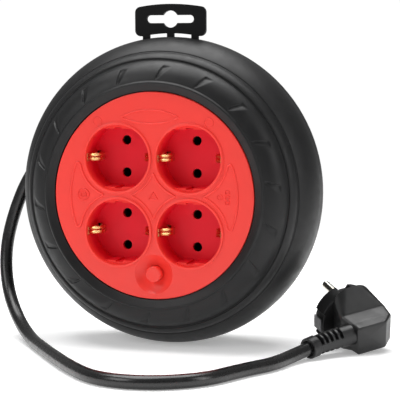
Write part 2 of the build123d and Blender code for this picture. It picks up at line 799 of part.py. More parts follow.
def earth_lead():
    """Earth conductor from the sheath's end to the earth strip."""
    start = sheath_end + Vector(1.6, -1.4, 0)
    points = [start, (start.X, start.Y, 19), (-15, lead_y - 3.0, 15.0), (-3.4, lead_y - 4.0, 20.5)]
    return reel(wire(points))


# ================= thermal cut-out and reset button =================
cutout_front = panel_y + dimple_depth + 2.0
cutout_wall = 1.2
button_flange_front = cutout_front + button_out + 0.2
button_stem_end = -14.6
bimetal_y = button_stem_end + button_in + 0.3
bimetal_thickness = 0.4


def cutout_housing():
    """Case of the thermal cut-out, open towards the button."""
    w = cutout_half_width
    shell = block(-w, w, cutout_front, cutout_back, cutout_low, cutout_high)
    t = cutout_wall
    room = (cutout_low + t, cutout_high - t)
    shell -= block(-w + t, w - t, cutout_front - 1, partition_y, *room)
    shell -= block(-w + t, w - t, partition_y + t, cutout_back - t, *room)
    shell -= rod(0, button_z, 2.1, cutout_front, partition_y + 3)
    for z in (cutout_low + 3.2, cutout_high - 3.2):
        shell -= block(-2.1, 2.1, cutout_back - 3, cutout_back + 1, z - 0.6, z + 0.6)
    return reel(shell)


def cutout_terminals():
    """Two blades of the cut-out that reach back to the leads."""
    group = []
    for z in (cutout_low + 3.2, cutout_high - 3.2):
        start = bimetal_y + bimetal_thickness
        blade = block(-2.0, 2.0, start, tab_end_y + 4.0, z - 0.4, z + 0.4)
        group.append(blade)
    return reel(Compound(group))


def bimetal_strip():
    """Snap-acting bimetal strip behind the button's stem."""
    low, high = cutout_low + 1.8, cutout_high - 1.8
    return reel(block(-2.2, 2.2, bimetal_y, bimetal_y + bimetal_thickness, low, high))


def reset_button():
    """Round button with a retaining flange and a stem."""
    head = rod(0, button_z, button_radius, button_top_y, button_flange_front)
    head = fillet(head.edges().filter_by(GeomType.CIRCLE).sort_by(Axis.Y)[:1], 0.9)
    flange = rod(0, button_z, button_radius + 0.5, button_flange_front, button_flange_front + 1.0)
    stem = rod(0, button_z, 1.8, button_flange_front, button_stem_end)
    return reel(head + flange + stem)


def button_spring():
    """Compression spring round the button's stem."""
    start = button_flange_front + 1.0
    free = partition_y - start
    coil_radius = 3.2
    wire_radius = 0.3
    turns = 4
    height = free - 2 * wire_radius - 0.2
    helix = Helix(pitch=height / turns, height=height, radius=coil_radius)
    section = Plane(origin=helix @ 0, z_dir=helix % 0) * Circle(wire_radius)
    coil = sweep(section, path=helix, is_frenet=True)
    coil = coil.rotate(Axis.X, -90)
    return reel(Pos(0, start + wire_radius + 0.1, button_z) * coil)


# ================= cord =================
# The free cord's route, from the outlet bush down to the floor, round in front of the
# casing and back to the plug's sleeve.
def direction(heading, dip):
    """A unit vector at a heading about +Z, dipped below the horizontal, in degrees."""
    level = cos(radians(dip))
    return Vector(cos(radians(heading)) * level, sin(radians(heading)) * level, -sin(radians(dip)))


cord_end = Vector(91.16, -33.21, cord_end_height)
cord_end_way = direction(cord_heading, plug_dip)
floor_run = (cord_end.Z - cord_radius) / sin(radians(plug_dip))
cord_route = [
    tuple(cord_start),
    (-94.4, outlet_y, 99.4),
    (-105.3, 11.5, 75.1),
    (-110.5, 8.5, 50.7),
    (-106.3, 0.8, 27.8),
    (-93.6, -13.3, 11.8),
    (-76.7, -34.1, cord_radius),
    (-58.6, -59.6, cord_radius),
    (-39.6, -85.2, cord_radius),
    (-23.3, -105.9, cord_radius),
    (-6.3, -124.0, cord_radius),
    (10.4, -131.2, cord_radius),
    (28.6, -130.9, cord_radius),
    (45.0, -123.1, cord_radius),
    (56.3, -111.4, cord_radius),
    (62.7, -97.8, cord_radius),
    (69.7, -83.3, cord_radius),
    (79.3, -67.8, cord_radius),
    tuple(cord_end + cord_end_way * floor_run),
    tuple(cord_end),
]


def corner_radii(points, share=0.45):
    """The bend radius at each inner point, as large as its two runs allow."""
    spots = [Vector(*point) for point in points]
    radii = []
    for before, here, after in zip(spots, spots[1:], spots[2:]):
        into, out = here - before, after - here
        turn = radians(into.get_angle(out))
        radii.append(share * min(into.length, out.length) / tan(turn / 2))
    return radii


def cord():
    """Free stretch of the cord: straight runs joined by bends."""
    radii = corner_radii(cord_route)
    path = FilletPolyline(*cord_route, radius=radii)
    section = Plane(origin=path @ 0, z_dir=path % 0) * Circle(cord_radius)
    tube = sweep(section, path=path)
    expected = pi * cord_radius ** 2 * path.length
    print("cord length", round(path.length, 1), "volume ratio", round(tube.volume / expected, 4))
    print("cord bend radii", [round(radius, 1) for radius in radii])
    return tube


# ================= plug =================
def plug_pin_direction():
    """Unit vector along the plug's pins, rolled up out of the horizontal."""
    heading, roll = radians(plug_heading), radians(plug_roll)
    level = Vector(sin(heading), -cos(heading), 0)
    upright = level.cross(plug_along)
    return level * cos(roll) + upright * sin(roll)


def sleeve_spot(reach):
    """A point of the sleeve's middle line, from its start of bending, and its heading."""
    turn = (cord_heading - plug_heading) * reach / sleeve_bend_length
    half_turn = radians(turn / 2)
    chord = reach * sin(half_turn) / half_turn if reach > 0 else reach
    middle = direction(plug_heading + turn / 2, 0) * chord * cos(radians(plug_dip))
    drop = Vector(0, 0, -reach * sin(radians(plug_dip)))
    return middle + drop, plug_heading + turn


sleeve_bend_length = sleeve_length - sleeve_straight
plug_along = direction(plug_heading, plug_dip)
plug_pin_way = plug_pin_direction()
sleeve_bend_start = cord_end - sleeve_spot(sleeve_bend_length)[0]
plug_middle = sleeve_bend_start - plug_along * (sleeve_root + sleeve_straight)
plug_origin = plug_middle - plug_pin_way * plug_sleeve_z
plug_plane = Plane(origin=plug_origin, x_dir=plug_along, z_dir=plug_pin_way)


def plug_section(x0, x1, half_y, z, corner):
    """A rounded rectangular section of the plug's housing."""
    flat = RectangleRounded(abs(x1 - x0), 2 * half_y, corner)
    return Pos((x0 + x1) / 2, 0, z) * flat


def plug_body():
    """Moulded housing of the angled plug, with guide grooves and earth flats."""
    disc = extrude(Pos(0, 0, -plug_face_depth) * Circle(plug_face_radius), plug_face_depth)
    disc = chamfer(disc.edges().filter_by(GeomType.CIRCLE).sort_by(Axis.Z)[-1:], 0.6)
    neck = [
        plug_section(-18.6, 15.0, 16.4, -plug_face_depth + 0.01, 12.0),
        plug_section(-21.5, 12.6, 14.6, -17.5, 5.0),
    ]
    tail = [
        plug_section(-21.5, 12.6, 14.6, -17.5, 5.0),
        plug_section(-10.0, 8.3, 9.3, -plug_depth, 1.5),
    ]
    body = disc + loft(neck, ruled=True) + loft(tail, ruled=True)
    for side in (1, -1):
        y = side * (plug_face_radius - guide_groove_depth / 2 + 1)
        middle_z = -plug_face_depth / 2 + 1
        cut_height = plug_face_depth + 2
        body -= Pos(0, y, middle_z) * Box(guide_groove_width, guide_groove_depth + 2, cut_height)
        x = side * (plug_face_radius + 0.6)
        body -= Pos(x, 0, middle_z) * Box(3.6, 15.0, cut_height)
    body -= Pos(0, 0, -plug_bridge_depth / 2) * Cylinder(plug_bridge_radius, plug_bridge_depth)
    socket = Plane(origin=(sleeve_root - sleeve_inset, 0, plug_sleeve_z), z_dir=(1, 0, 0))
    body -= extrude(socket * Circle(sleeve_root_radius), 20)
    return plug_plane * body


def plug_pin_bridge():
    """Hard insert in the plug's face that carries the pins."""
    disc = Pos(0, 0, -plug_bridge_depth / 2) * Cylinder(plug_bridge_radius, plug_bridge_depth)
    for side in (1, -1):
        disc -= Pos(0, side * pin_pitch / 2, 0) * Cylinder(plug_pin_radius, 20)
    return plug_plane * disc


def plug_pins():
    """The two pins, with rounded tips."""
    pins = []
    for side in (1, -1):
        length = plug_pin_length + plug_bridge_depth
        middle = Pos(0, side * pin_pitch / 2, length / 2 - plug_bridge_depth)
        pin = middle * Cylinder(plug_pin_radius, length)
        pins.append(fillet(pin.edges().filter_by(GeomType.CIRCLE).sort_by(Axis.Z)[-1:], 1.6))
    return plug_plane * Compound(pins)


def plug_earth_strips():
    """The two side contacts that meet a socket's earth clips."""
    strips = []
    for side in (1, -1):
        x = side * (plug_face_radius - 1.2 + 0.4)
        middle = Pos(x, 0, -plug_face_depth / 2 - 0.1)
        strips.append(middle * Box(0.8, earth_width, plug_face_depth - 1.2))
    return plug_plane * Compound(strips)


def sleeve_plane(reach):
    """The plane across the sleeve at a distance from its start of bending."""
    if reach <= 0:
        spot, heading = plug_along * reach, plug_heading
    else:
        spot, heading = sleeve_spot(reach)
    way = direction(heading, plug_dip)
    return Plane(origin=sleeve_bend_start + spot, x_dir=plug_pin_way.cross(way), z_dir=way)


def plug_sleeve():
    """Ribbed strain relief between the plug and the cord, bent with the cord."""
    start = -sleeve_straight - sleeve_inset
    count = 6
    spots = [start, 0.0] + [sleeve_bend_length * (index + 1) / count for index in range(count)]
    taper = (sleeve_root_radius - sleeve_end_radius) / (sleeve_bend_length - start)
    sections = []
    for spot in spots:
        radius = sleeve_root_radius - taper * (spot - start)
        sections.append(sleeve_plane(spot) * Circle(radius))
    sleeve = loft(sections[:2]) + loft(sections[1:])
    for index in range(rib_slots):
        at = 2.0 + index * rib_pitch
        for side in (1, -1):
            sleeve -= sleeve_plane(at) * Pos(side * rib_reach, 0, 0) * Box(5.0, 9.0, rib_width)
    return sleeve


# ================= writing =================
nodes = {
    "front_shell": front_shell,
    "rear_shell": rear_shell,
    "casing_screws": casing_screws,
    "hang_tab": hang_tab,
    "cable_guide": cable_guide,
    "socket_panel": socket_panel,
    "socket_cups": socket_cups,
    "drum_core": drum_core,
    "rear_flange": rear_flange,
    "wound_cable": wound_cable,
    "live_busbar": live_busbar,
    "neutral_busbar": neutral_busbar,
    "earth_bar": earth_bar,
    "contact_cover": contact_cover,
    "cable_tail": cable_tail,
    "cord_clamp": cord_clamp,
    "clamp_screws": clamp_screws,
    "panel_screws": panel_screws,
    "cover_screws": cover_screws,
    "flange_screws": flange_screws,
    "live_lead": live_lead,
    "switched_lead": switched_lead,
    "neutral_lead": neutral_lead,
    "earth_lead": earth_lead,
    "cutout_housing": cutout_housing,
    "cutout_terminals": cutout_terminals,
    "bimetal_strip": bimetal_strip,
    "reset_button": reset_button,
    "button_spring": button_spring,
    "cord": cord,
    "plug_body": plug_body,
    "plug_pin_bridge": plug_pin_bridge,
    "plug_pins": plug_pins,
    "plug_earth_strips": plug_earth_strips,
    "plug_sleeve": plug_sleeve,
}

os.makedirs("parts", exist_ok=True)
for name, make in nodes.items():
    shape = make()
    export_step(shape, f"parts/{name}.step")
    print(name, round(shape.volume, 1))
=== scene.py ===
"""Detailed look of a cassette cord reel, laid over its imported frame.

Sizes in the functions are millimetres and are turned to metres when a mesh is made. The frame's
origin is on the floor under the middle of the casing, the sockets face -Y, and the drum turns
about the Y axis.
"""

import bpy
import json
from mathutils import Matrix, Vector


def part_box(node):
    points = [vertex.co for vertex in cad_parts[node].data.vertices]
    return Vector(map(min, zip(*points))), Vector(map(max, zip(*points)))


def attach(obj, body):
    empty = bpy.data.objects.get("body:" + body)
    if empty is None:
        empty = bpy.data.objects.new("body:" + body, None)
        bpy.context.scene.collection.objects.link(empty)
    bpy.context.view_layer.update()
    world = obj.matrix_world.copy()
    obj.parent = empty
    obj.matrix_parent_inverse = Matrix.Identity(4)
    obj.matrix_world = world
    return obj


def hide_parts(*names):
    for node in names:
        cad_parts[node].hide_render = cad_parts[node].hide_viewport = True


bl_info = {
    "name": "Cord Reel",
    "version": (1, 0, 0),
    "blender": (4, 5, 0),
    "location": "3D View > Sidebar > Cord Reel",
    "description": "Builds the detailed surfaces and finishes of a cassette cord reel",
    "category": "Object",
}

import json
import math
import bpy
import bmesh
import numpy as np
from mathutils import Matrix, Vector

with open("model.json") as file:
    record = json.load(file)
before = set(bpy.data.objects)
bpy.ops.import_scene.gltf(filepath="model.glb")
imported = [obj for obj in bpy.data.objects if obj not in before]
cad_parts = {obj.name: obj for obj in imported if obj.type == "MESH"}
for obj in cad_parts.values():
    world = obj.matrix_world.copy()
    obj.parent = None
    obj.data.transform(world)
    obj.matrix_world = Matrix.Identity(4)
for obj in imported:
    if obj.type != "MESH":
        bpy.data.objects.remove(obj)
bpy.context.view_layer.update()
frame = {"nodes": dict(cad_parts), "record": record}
MM = 0.001


# ================= places read from the frame, in millimetres =================
def node_box(name):
    """Lowest and highest corner of a CAD node, in millimetres."""
    low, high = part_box(name)
    return np.array(low) / MM, np.array(high) / MM


SHELL_LOW, SHELL_HIGH = node_box("front_shell")
PANEL_LOW, PANEL_HIGH = node_box("socket_panel")
WINDING_LOW, WINDING_HIGH = node_box("wound_cable")
BUTTON_LOW, BUTTON_HIGH = node_box("reset_button")
CUP_FACE_Y = node_box("socket_cups")[0][1]
AXIS_Z = (SHELL_LOW[2] + SHELL_HIGH[2]) / 2
CASING_R = (SHELL_HIGH[0] - SHELL_LOW[0]) / 2
RIDGE_Y = SHELL_LOW[1]
SEAM_Y = SHELL_HIGH[1]
PANEL_Y = PANEL_LOW[1]
PANEL_R = (PANEL_HIGH[0] - PANEL_LOW[0]) / 2

SOCKET_PITCH = 43.0
SOCKET_R = 19.3
SOCKET_DEPTH = 17.0
SOCKET_HALF = SOCKET_PITCH / 2
WELLS = [(x, z) for z in (SOCKET_HALF, -SOCKET_HALF) for x in (-SOCKET_HALF, SOCKET_HALF)]
BUTTON_Z = (BUTTON_LOW[2] + BUTTON_HIGH[2]) / 2
CORD_D = 7.8
CORD_R = CORD_D / 2

# The cord's route, from the outlet bush down to the floor and round to the plug's sleeve.
PLUG_HEADING = 220.0
CORD_HEADING = 240.0
PLUG_DIP = 10.0
PLUG_ROLL = 19.0
CORD_END = (91.16, -33.21, 6.4)
CORD_ROUTE = [
    (-79.6, 12.5, 117.2),
    (-94.4, 12.5, 99.4),
    (-105.3, 11.5, 75.1),
    (-110.5, 8.5, 50.7),
    (-106.3, 0.8, 27.8),
    (-93.6, -13.3, 11.8),
    (-76.7, -34.1, 3.9),
    (-58.6, -59.6, 3.9),
    (-39.6, -85.2, 3.9),
    (-23.3, -105.9, 3.9),
    (-6.3, -124.0, 3.9),
    (10.4, -131.2, 3.9),
    (28.6, -130.9, 3.9),
    (45.0, -123.1, 3.9),
    (56.3, -111.4, 3.9),
    (62.7, -97.8, 3.9),
    (69.7, -83.3, 3.9),
    (79.3, -67.8, 3.9),
    (84.07, -45.49, 3.9),
    CORD_END,
]


# ================= settings =================
class CordReelSettings(bpy.types.PropertyGroup):
    """Sizes and colours that a user would change."""

    dent_depth: bpy.props.FloatProperty(
        name="Dent depth", description="Depth of the slanted dents in the casing's band, in millimetres",
        default=0.8, min=0.0, max=2.0)
    dent_width: bpy.props.FloatProperty(
        name="Dent width", description="Width of a dent at its outer end, in millimetres",
        default=6.4, min=1.0, max=10.0)
    outline_height: bpy.props.FloatProperty(
        name="Outline height",
        description="Height of the raised outlines on the socket panel, in millimetres",
        default=0.75, min=0.05, max=1.0)
    winding_turns: bpy.props.IntProperty(
        name="Winding turns", description="Turns of cable on the drum", default=11, min=1, max=12)
    panel_colour: bpy.props.FloatVectorProperty(
        name="Panel colour", description="Plastic of the socket panel and the button",
        subtype="COLOR", size=3, min=0.0, max=1.0, default=(0.88, 0.040, 0.028))
    casing_colour: bpy.props.FloatVectorProperty(
        name="Casing colour", description="Plastic of the casing",
        subtype="COLOR", size=3, min=0.0, max=1.0, default=(0.0062, 0.0062, 0.0066))
    cable_colour: bpy.props.FloatVectorProperty(
        name="Cable colour", description="Sheath of the cable",
        subtype="COLOR", size=3, min=0.0, max=1.0, default=(0.006, 0.006, 0.0063))
    floor_colour: bpy.props.FloatVectorProperty(
        name="Floor colour", description="Floor and backdrop",
        subtype="COLOR", size=3, min=0.0, max=1.0, default=(0.93, 0.93, 0.93))
    light_power: bpy.props.FloatProperty(
        name="Light power", description="Strength of the studio lights", default=1.0, min=0.0, max=5.0)


def settings():
    """The scene's settings of this reel."""
    return bpy.context.scene.cord_reel


# ================= mesh tools =================
# Distances in metres, and angles in degrees.
JOIN_DISTANCE = 2e-6
TINY_EDGE = 1e-6
FLAT_ANGLE = 1.0
BEVEL_ANGLE = 30.0
BEVEL_SEGMENTS = 3


def grid_faces(rows, columns, wrap_rows=False, wrap_columns=False, start=0):
    """Quads between the neighbours of a grid of points.

    Wrapping joins the last row or column to the first.
    """
    index = start + np.arange(rows * columns).reshape(rows, columns)
    if wrap_rows:
        index = np.vstack([index, index[:1]])
    if wrap_columns:
        index = np.hstack([index, index[:, :1]])
    corners = [index[:-1, :-1], index[1:, :-1], index[1:, 1:], index[:-1, 1:]]
    return np.stack(corners, axis=-1).reshape(-1, 4)


class Shape:
    """Grids of points gathered into one mesh."""

    def __init__(self):
        self.points = []
        self.faces = []
        self.count = 0

    def grid(self, points, wrap_rows=False, wrap_columns=False):
        """Adds a surface given as an array of rows, columns and coordinates."""
        rows, columns = points.shape[:2]
        self.faces.append(grid_faces(rows, columns, wrap_rows, wrap_columns, self.count))
        self.points.append(points.reshape(-1, 3))
        self.count += rows * columns

    def piece(self, name, material, body, slot, sharp=35.0):
        """Makes the object: joins doubles, turns faces outwards, shades it smooth and lets it ride."""
        mesh = bpy.data.meshes.new(name)
        points = np.vstack(self.points) * MM
        faces = np.vstack(self.faces)
        mesh.vertices.add(len(points))
        mesh.vertices.foreach_set("co", points.ravel())
        mesh.loops.add(faces.size)
        mesh.loops.foreach_set("vertex_index", faces.ravel())
        mesh.polygons.add(len(faces))
        mesh.polygons.foreach_set("loop_start", np.arange(0, faces.size, 4))
        mesh.update(calc_edges=True)
        tidy = bmesh.new()
        tidy.from_mesh(mesh)
        bmesh.ops.remove_doubles(tidy, verts=tidy.verts, dist=JOIN_DISTANCE)
        bmesh.ops.dissolve_degenerate(tidy, edges=tidy.edges, dist=TINY_EDGE)
        bmesh.ops.recalc_face_normals(tidy, faces=tidy.faces)
        tidy.to_mesh(mesh)
        tidy.free()
        return place(name, mesh, material, body, sharp)


def place(name, mesh, material, body, sharp=35.0):
    """Puts a finished mesh into the scene with its finish, on its body."""
    mesh.polygons.foreach_set("use_smooth", np.ones(len(mesh.polygons), bool))
    mesh.set_sharp_from_angle(angle=math.radians(sharp))
    mesh.materials.clear()
    mesh.materials.append(material)
    piece = bpy.data.objects.new(name, mesh)
    bpy.context.scene.collection.objects.link(piece)
    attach(piece, body)
    return piece


def bevelled_copy(node, name, material, body, width):
    """A merged copy of a CAD node with its sharp edges rounded by a bevel of the given width."""
    mesh = frame["nodes"][node].data.copy()
    mesh.name = name
    tidy = bmesh.new()
    tidy.from_mesh(mesh)
    bmesh.ops.remove_doubles(tidy, verts=tidy.verts, dist=TINY_EDGE)
    bmesh.ops.dissolve_limit(
        tidy, angle_limit=math.radians(FLAT_ANGLE), verts=tidy.verts, edges=tidy.edges,
        use_dissolve_boundaries=False)
    tidy.to_mesh(mesh)
    tidy.free()
    piece = place(name, mesh, material, body, sharp=50.0)
    bevel = piece.modifiers.new("Bevel", "BEVEL")
    bevel.width = width * MM
    bevel.segments = BEVEL_SEGMENTS
    bevel.limit_method = "ANGLE"
    bevel.angle_limit = math.radians(BEVEL_ANGLE)
    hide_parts(node)


# ================= outlines and paths =================
def line(start, end, count):
    """Evenly spaced points from start to end, the end left out."""
    share = np.linspace(0.0, 1.0, count, endpoint=False)[:, None]
    return np.asarray(start, float) * (1 - share) + np.asarray(end, float) * share


def arc_through(start, middle, end, count):
    """Points of the circle through three points of a plane, from start to end, the end left out."""
    a, b, c = (complex(*point) for point in (start, middle, end))
    turn = (c - a) / (b - a)
    centre = a + (b - a) * (turn - abs(turn) ** 2) / (2j * turn.imag)
    first = np.angle(a - centre)
    sweep = np.angle((c - centre) / (a - centre))
    halfway = np.angle((b - centre) / (a - centre))
    if sweep * halfway < 0 or abs(halfway) > abs(sweep):
        sweep -= math.copysign(2 * math.pi, sweep)
    angles = first + sweep * np.linspace(0.0, 1.0, count, endpoint=False)
    spots = centre + abs(a - centre) * np.exp(1j * angles)
    return np.stack([spots.real, spots.imag], axis=1)


def rounded(corners, steps=3):
    """A closed outline whose corners (x, y, radius) are rounded.

    Each corner is a parabola between two points that stand one radius from it along its sides.
    """
    spots = np.array([corner[:2] for corner in corners], float)
    radii = np.array([corner[2] for corner in corners], float)
    before = np.roll(spots, 1, axis=0) - spots
    after = np.roll(spots, -1, axis=0) - spots
    outline = []
    for spot, radius, back, on in zip(spots, radii, before, after):
        if radius == 0.0:
            outline.append(spot[None])
            continue
        reach_back = min(radius, 0.48 * np.linalg.norm(back))
        reach_on = min(radius, 0.48 * np.linalg.norm(on))
        first = spot + back / np.linalg.norm(back) * reach_back
        last = spot + on / np.linalg.norm(on) * reach_on
        share = np.linspace(0.0, 1.0, steps + 1)[:, None]
        outline.append(first * (1 - share) ** 2 + 2 * spot * share * (1 - share) + last * share ** 2)
    return np.vstack(outline)


def turned(profile, angles, centre=(0.0, 0.0)):
    """Turns a profile of (radius, y) about an axis along Y through centre.

    A point goes to (cx + r cos t, y, AXIS_Z + cz + r sin t). Angles are one row for all points,
    or one row for each.
    """
    radius, y = profile[:, :1], profile[:, 1:2]
    angles = np.broadcast_to(angles, (len(profile), angles.shape[-1]))
    x = centre[0] + radius * np.cos(angles)
    z = AXIS_Z + centre[1] + radius * np.sin(angles)
    return np.stack([x, np.broadcast_to(y, x.shape), z], axis=-1)


def full_circle(count):
    """Angles once round, the last left out."""
    return np.linspace(0.0, 2 * math.pi, count, endpoint=False)[None]


def smooth_step(value):
    """0 below 0, 1 above 1, and a cubic ease between."""
    value = np.clip(value, 0.0, 1.0)
    return value * value * (3 - 2 * value)


def along_path(path, ups, section):
    """Carries a section of (side, up) points along a path, level with the given up directions."""
    ways = np.gradient(path, axis=0)
    ways /= np.linalg.norm(ways, axis=1, keepdims=True)
    sides = np.cross(ways, ups)
    sides /= np.linalg.norm(sides, axis=1, keepdims=True)
    tops = np.cross(sides, ways)
    return path[:, None] + section[:, :1] * sides[:, None] + section[:, 1:] * tops[:, None]


def pole_row(row):
    """A row of points that all stand at the middle of the given row, to close an end."""
    return np.broadcast_to(row.mean(axis=0), row.shape)[None]


def capped(rows):
    """Rows of points with a pole at each end."""
    return np.concatenate([pole_row(rows[0]), rows, pole_row(rows[-1])])


def round_section(radius, count):
    """A circle of points."""
    angle = np.linspace(0.0, 2 * math.pi, count, endpoint=False)
    return radius * np.stack([np.cos(angle), np.sin(angle)], axis=1)


# ================= finishes =================
def noise(tree, coords, scale, detail=3.0, roughness=0.6):
    """A noise texture over the given coordinates."""
    node = tree.nodes.new("ShaderNodeTexNoise")
    node.inputs["Scale"].default_value = scale
    node.inputs["Detail"].default_value = detail
    node.inputs["Roughness"].default_value = roughness
    tree.links.new(coords, node.inputs["Vector"])
    return node.outputs["Fac"]


def spread(tree, value, low_in, high_in, low_out, high_out):
    """Maps a value from one range to another."""
    node = tree.nodes.new("ShaderNodeMapRange")
    node.inputs["From Min"].default_value = low_in
    node.inputs["From Max"].default_value = high_in
    node.inputs["To Min"].default_value = low_out
    node.inputs["To Max"].default_value = high_out
    tree.links.new(value, node.inputs["Value"])
    return node.outputs["Result"]


def blend_colours(tree, factor, first, second):
    """Mixes two colours by a factor; the first is a colour or another node's output."""
    node = tree.nodes.new("ShaderNodeMix")
    node.data_type = "RGBA"
    if isinstance(first, bpy.types.NodeSocket):
        tree.links.new(first, node.inputs["A"])
    else:
        node.inputs["A"].default_value = (*first, 1.0)
    node.inputs["B"].default_value = (*second, 1.0)
    tree.links.new(factor, node.inputs["Factor"])
    return node.outputs["Result"]


# The part of a noise texture's range that is spread over the full change.
NOISE_LOW = 0.3
NOISE_HIGH = 0.7
GLOSS_SPREAD = 0.06
GLOSS_FINENESS = 7
SMOOTHEST = 0.02
SCUFF_TURN = (0.3, 0.5, 0.9)
SCUFF_STRETCH = (60.0, 900.0, 500.0)
SCUFF_FROM = 0.72
SCUFF_TO = 0.80
SCUFF_GAIN = 1.6
SCUFF_LIFT = 0.03


def finish(name, colour, roughness, *, metallic=0.0, mottle=0.08, patch=25.0, grain=900.0, depth=0.02,
           streak=(1.0, 1.0, 1.0), specular=0.5, scuff=0.0, painted_shade=None):
    """A moulded, drawn or plated finish.

    Broad noise shifts the colour, medium noise shifts the gloss, fine noise raises the grain, and
    thin stretched noise lays pale scuffs. patch and grain are features per metre, depth is in
    millimetres, and streak stretches the pattern along an axis. painted_shade is a darker colour
    painted as shade, with the two places along Y, in millimetres, between which it takes over.
    """
    material = bpy.data.materials.new(name)
    material.use_nodes = True
    tree = material.node_tree
    shader = tree.nodes["Principled BSDF"]
    spots = tree.nodes.new("ShaderNodeTexCoord").outputs["Object"]
    mapping = tree.nodes.new("ShaderNodeMapping")
    mapping.inputs["Scale"].default_value = streak
    tree.links.new(spots, mapping.inputs["Vector"])
    coords = mapping.outputs["Vector"]
    colour = np.array(colour, float)
    dark = np.clip(colour * (1 - mottle), 0, 1)
    light = np.clip(colour * (1 + mottle), 0, 1)
    broad = spread(tree, noise(tree, coords, patch), NOISE_LOW, NOISE_HIGH, 0.0, 1.0)
    base = blend_colours(tree, broad, dark, light)
    if scuff > 0.0:
        stretch = tree.nodes.new("ShaderNodeMapping")
        stretch.inputs["Rotation"].default_value = SCUFF_TURN
        stretch.inputs["Scale"].default_value = SCUFF_STRETCH
        tree.links.new(spots, stretch.inputs["Vector"])
        thin = noise(tree, stretch.outputs["Vector"], 1.0, 2.0, 0.5)
        marks = spread(tree, thin, SCUFF_FROM, SCUFF_TO, 0.0, scuff)
        base = blend_colours(tree, marks, base, np.clip(colour * SCUFF_GAIN + SCUFF_LIFT, 0, 1))
    # Painted shade: the colour darkens towards a second tone between two places along Y, deeper into the
    # part.
    if painted_shade is not None:
        shade_tone, first_y, last_y = painted_shade
        axes = tree.nodes.new("ShaderNodeSeparateXYZ")
        tree.links.new(spots, axes.inputs["Vector"])
        shade_share = spread(tree, axes.outputs["Y"], first_y * MM, last_y * MM, 0.0, 1.0)
        base = blend_colours(tree, shade_share, base, shade_tone)
    tree.links.new(base, shader.inputs["Base Color"])
    gloss = noise(tree, coords, patch * GLOSS_FINENESS)
    least = max(roughness - GLOSS_SPREAD, SMOOTHEST)
    gloss = spread(tree, gloss, NOISE_LOW, NOISE_HIGH, least, roughness + GLOSS_SPREAD)
    tree.links.new(gloss, shader.inputs["Roughness"])
    bump = tree.nodes.new("ShaderNodeBump")
    bump.inputs["Strength"].default_value = 1.0
    bump.inputs["Distance"].default_value = depth * MM
    tree.links.new(noise(tree, coords, grain), bump.inputs["Height"])
    tree.links.new(bump.outputs["Normal"], shader.inputs["Normal"])
    shader.inputs["Metallic"].default_value = metallic
    shader.inputs["Specular IOR Level"].default_value = specular
    return material


FINISHES = {}
# Deeper crimson painted as shade inside the socket wells.
CUP_PAINTED_SHADE_RED = (0.82, 0.006, 0.026)
WIRE_SURFACE = dict(roughness=0.4, grain=700.0, depth=0.008)


def finish_for(slot):
    """The finish of a material slot, made once."""
    if slot in FINISHES:
        return FINISHES[slot]
    look = settings()
    recipes = {
        "casing_plastic": dict(
            colour=look.casing_colour, roughness=0.46, grain=1500.0, depth=0.012, scuff=0.05, specular=0.34),
        "tab_plastic": dict(
            colour=(0.003, 0.003, 0.0033), roughness=0.5, grain=900.0, depth=0.008, specular=0.16),
        "panel_red": dict(colour=look.panel_colour, roughness=0.38, mottle=0.03, grain=1100.0, depth=0.005),
        # The wells' red with painted shade: it turns deeper crimson further into the wells.
        "cup_red_painted_shade": dict(
            colour=look.panel_colour, roughness=0.44, specular=0.28, mottle=0.03, grain=1100.0, depth=0.005,
            painted_shade=(CUP_PAINTED_SHADE_RED, PANEL_Y - 0.2, PANEL_Y + 9.0)),
        "drum_plastic": dict(colour=(0.012, 0.012, 0.013), roughness=0.5, grain=1300.0, depth=0.012),
        "cover_plastic": dict(colour=(0.52, 0.52, 0.50), roughness=0.5, grain=800.0, depth=0.01),
        "cutout_plastic": dict(
            colour=(0.05, 0.042, 0.036), roughness=0.4, mottle=0.15, grain=700.0, depth=0.01),
        "cable_pvc": dict(
            colour=look.cable_colour, roughness=0.27, grain=500.0, depth=0.02, specular=0.55),
        "plug_pvc": dict(colour=(0.006, 0.006, 0.0063), roughness=0.40, grain=1400.0, depth=0.012),
        "plug_disc": dict(
            colour=(0.003, 0.003, 0.0032), roughness=0.5, grain=1200.0, depth=0.01, specular=0.3),
        "nickel_plate": dict(
            colour=(0.60, 0.575, 0.50), roughness=0.22, metallic=1.0, grain=300.0, depth=0.003),
        "contact_brass": dict(
            colour=(0.80, 0.56, 0.24), roughness=0.24, metallic=1.0, mottle=0.12, grain=600.0, depth=0.004,
            streak=(1.0, 0.15, 1.0)),
        # Brass darkened almost to black as painted shade, so the pin holes read dark.
        "contact_painted_shade": dict(
            colour=(0.05, 0.037, 0.022), roughness=0.55, metallic=1.0, mottle=0.2, grain=600.0, depth=0.004),
        "strip_steel": dict(
            colour=(0.16, 0.16, 0.165), roughness=0.45, metallic=1.0, mottle=0.2, grain=900.0, depth=0.003),
        "screw_steel": dict(
            colour=(0.50, 0.50, 0.50), roughness=0.32, metallic=1.0, grain=900.0, depth=0.004),
        "spring_steel": dict(
            colour=(0.56, 0.56, 0.58), roughness=0.28, metallic=1.0, grain=900.0, depth=0.003),
        "wire_brown": dict(colour=(0.16, 0.065, 0.028), **WIRE_SURFACE),
        "wire_blue": dict(colour=(0.04, 0.13, 0.48), **WIRE_SURFACE),
        "wire_green": dict(colour=(0.16, 0.42, 0.05), **WIRE_SURFACE),
    }
    FINISHES[slot] = finish(slot, **recipes[slot])
    return FINISHES[slot]


# ================= front of the casing =================
DENT_COUNT = 18
DENT_FIRST = 8.0
DENT_INNER = 66.6
DENT_OUTER = 75.2
DENT_SLANT = 4.5
DENT_CLOSE = 3.0

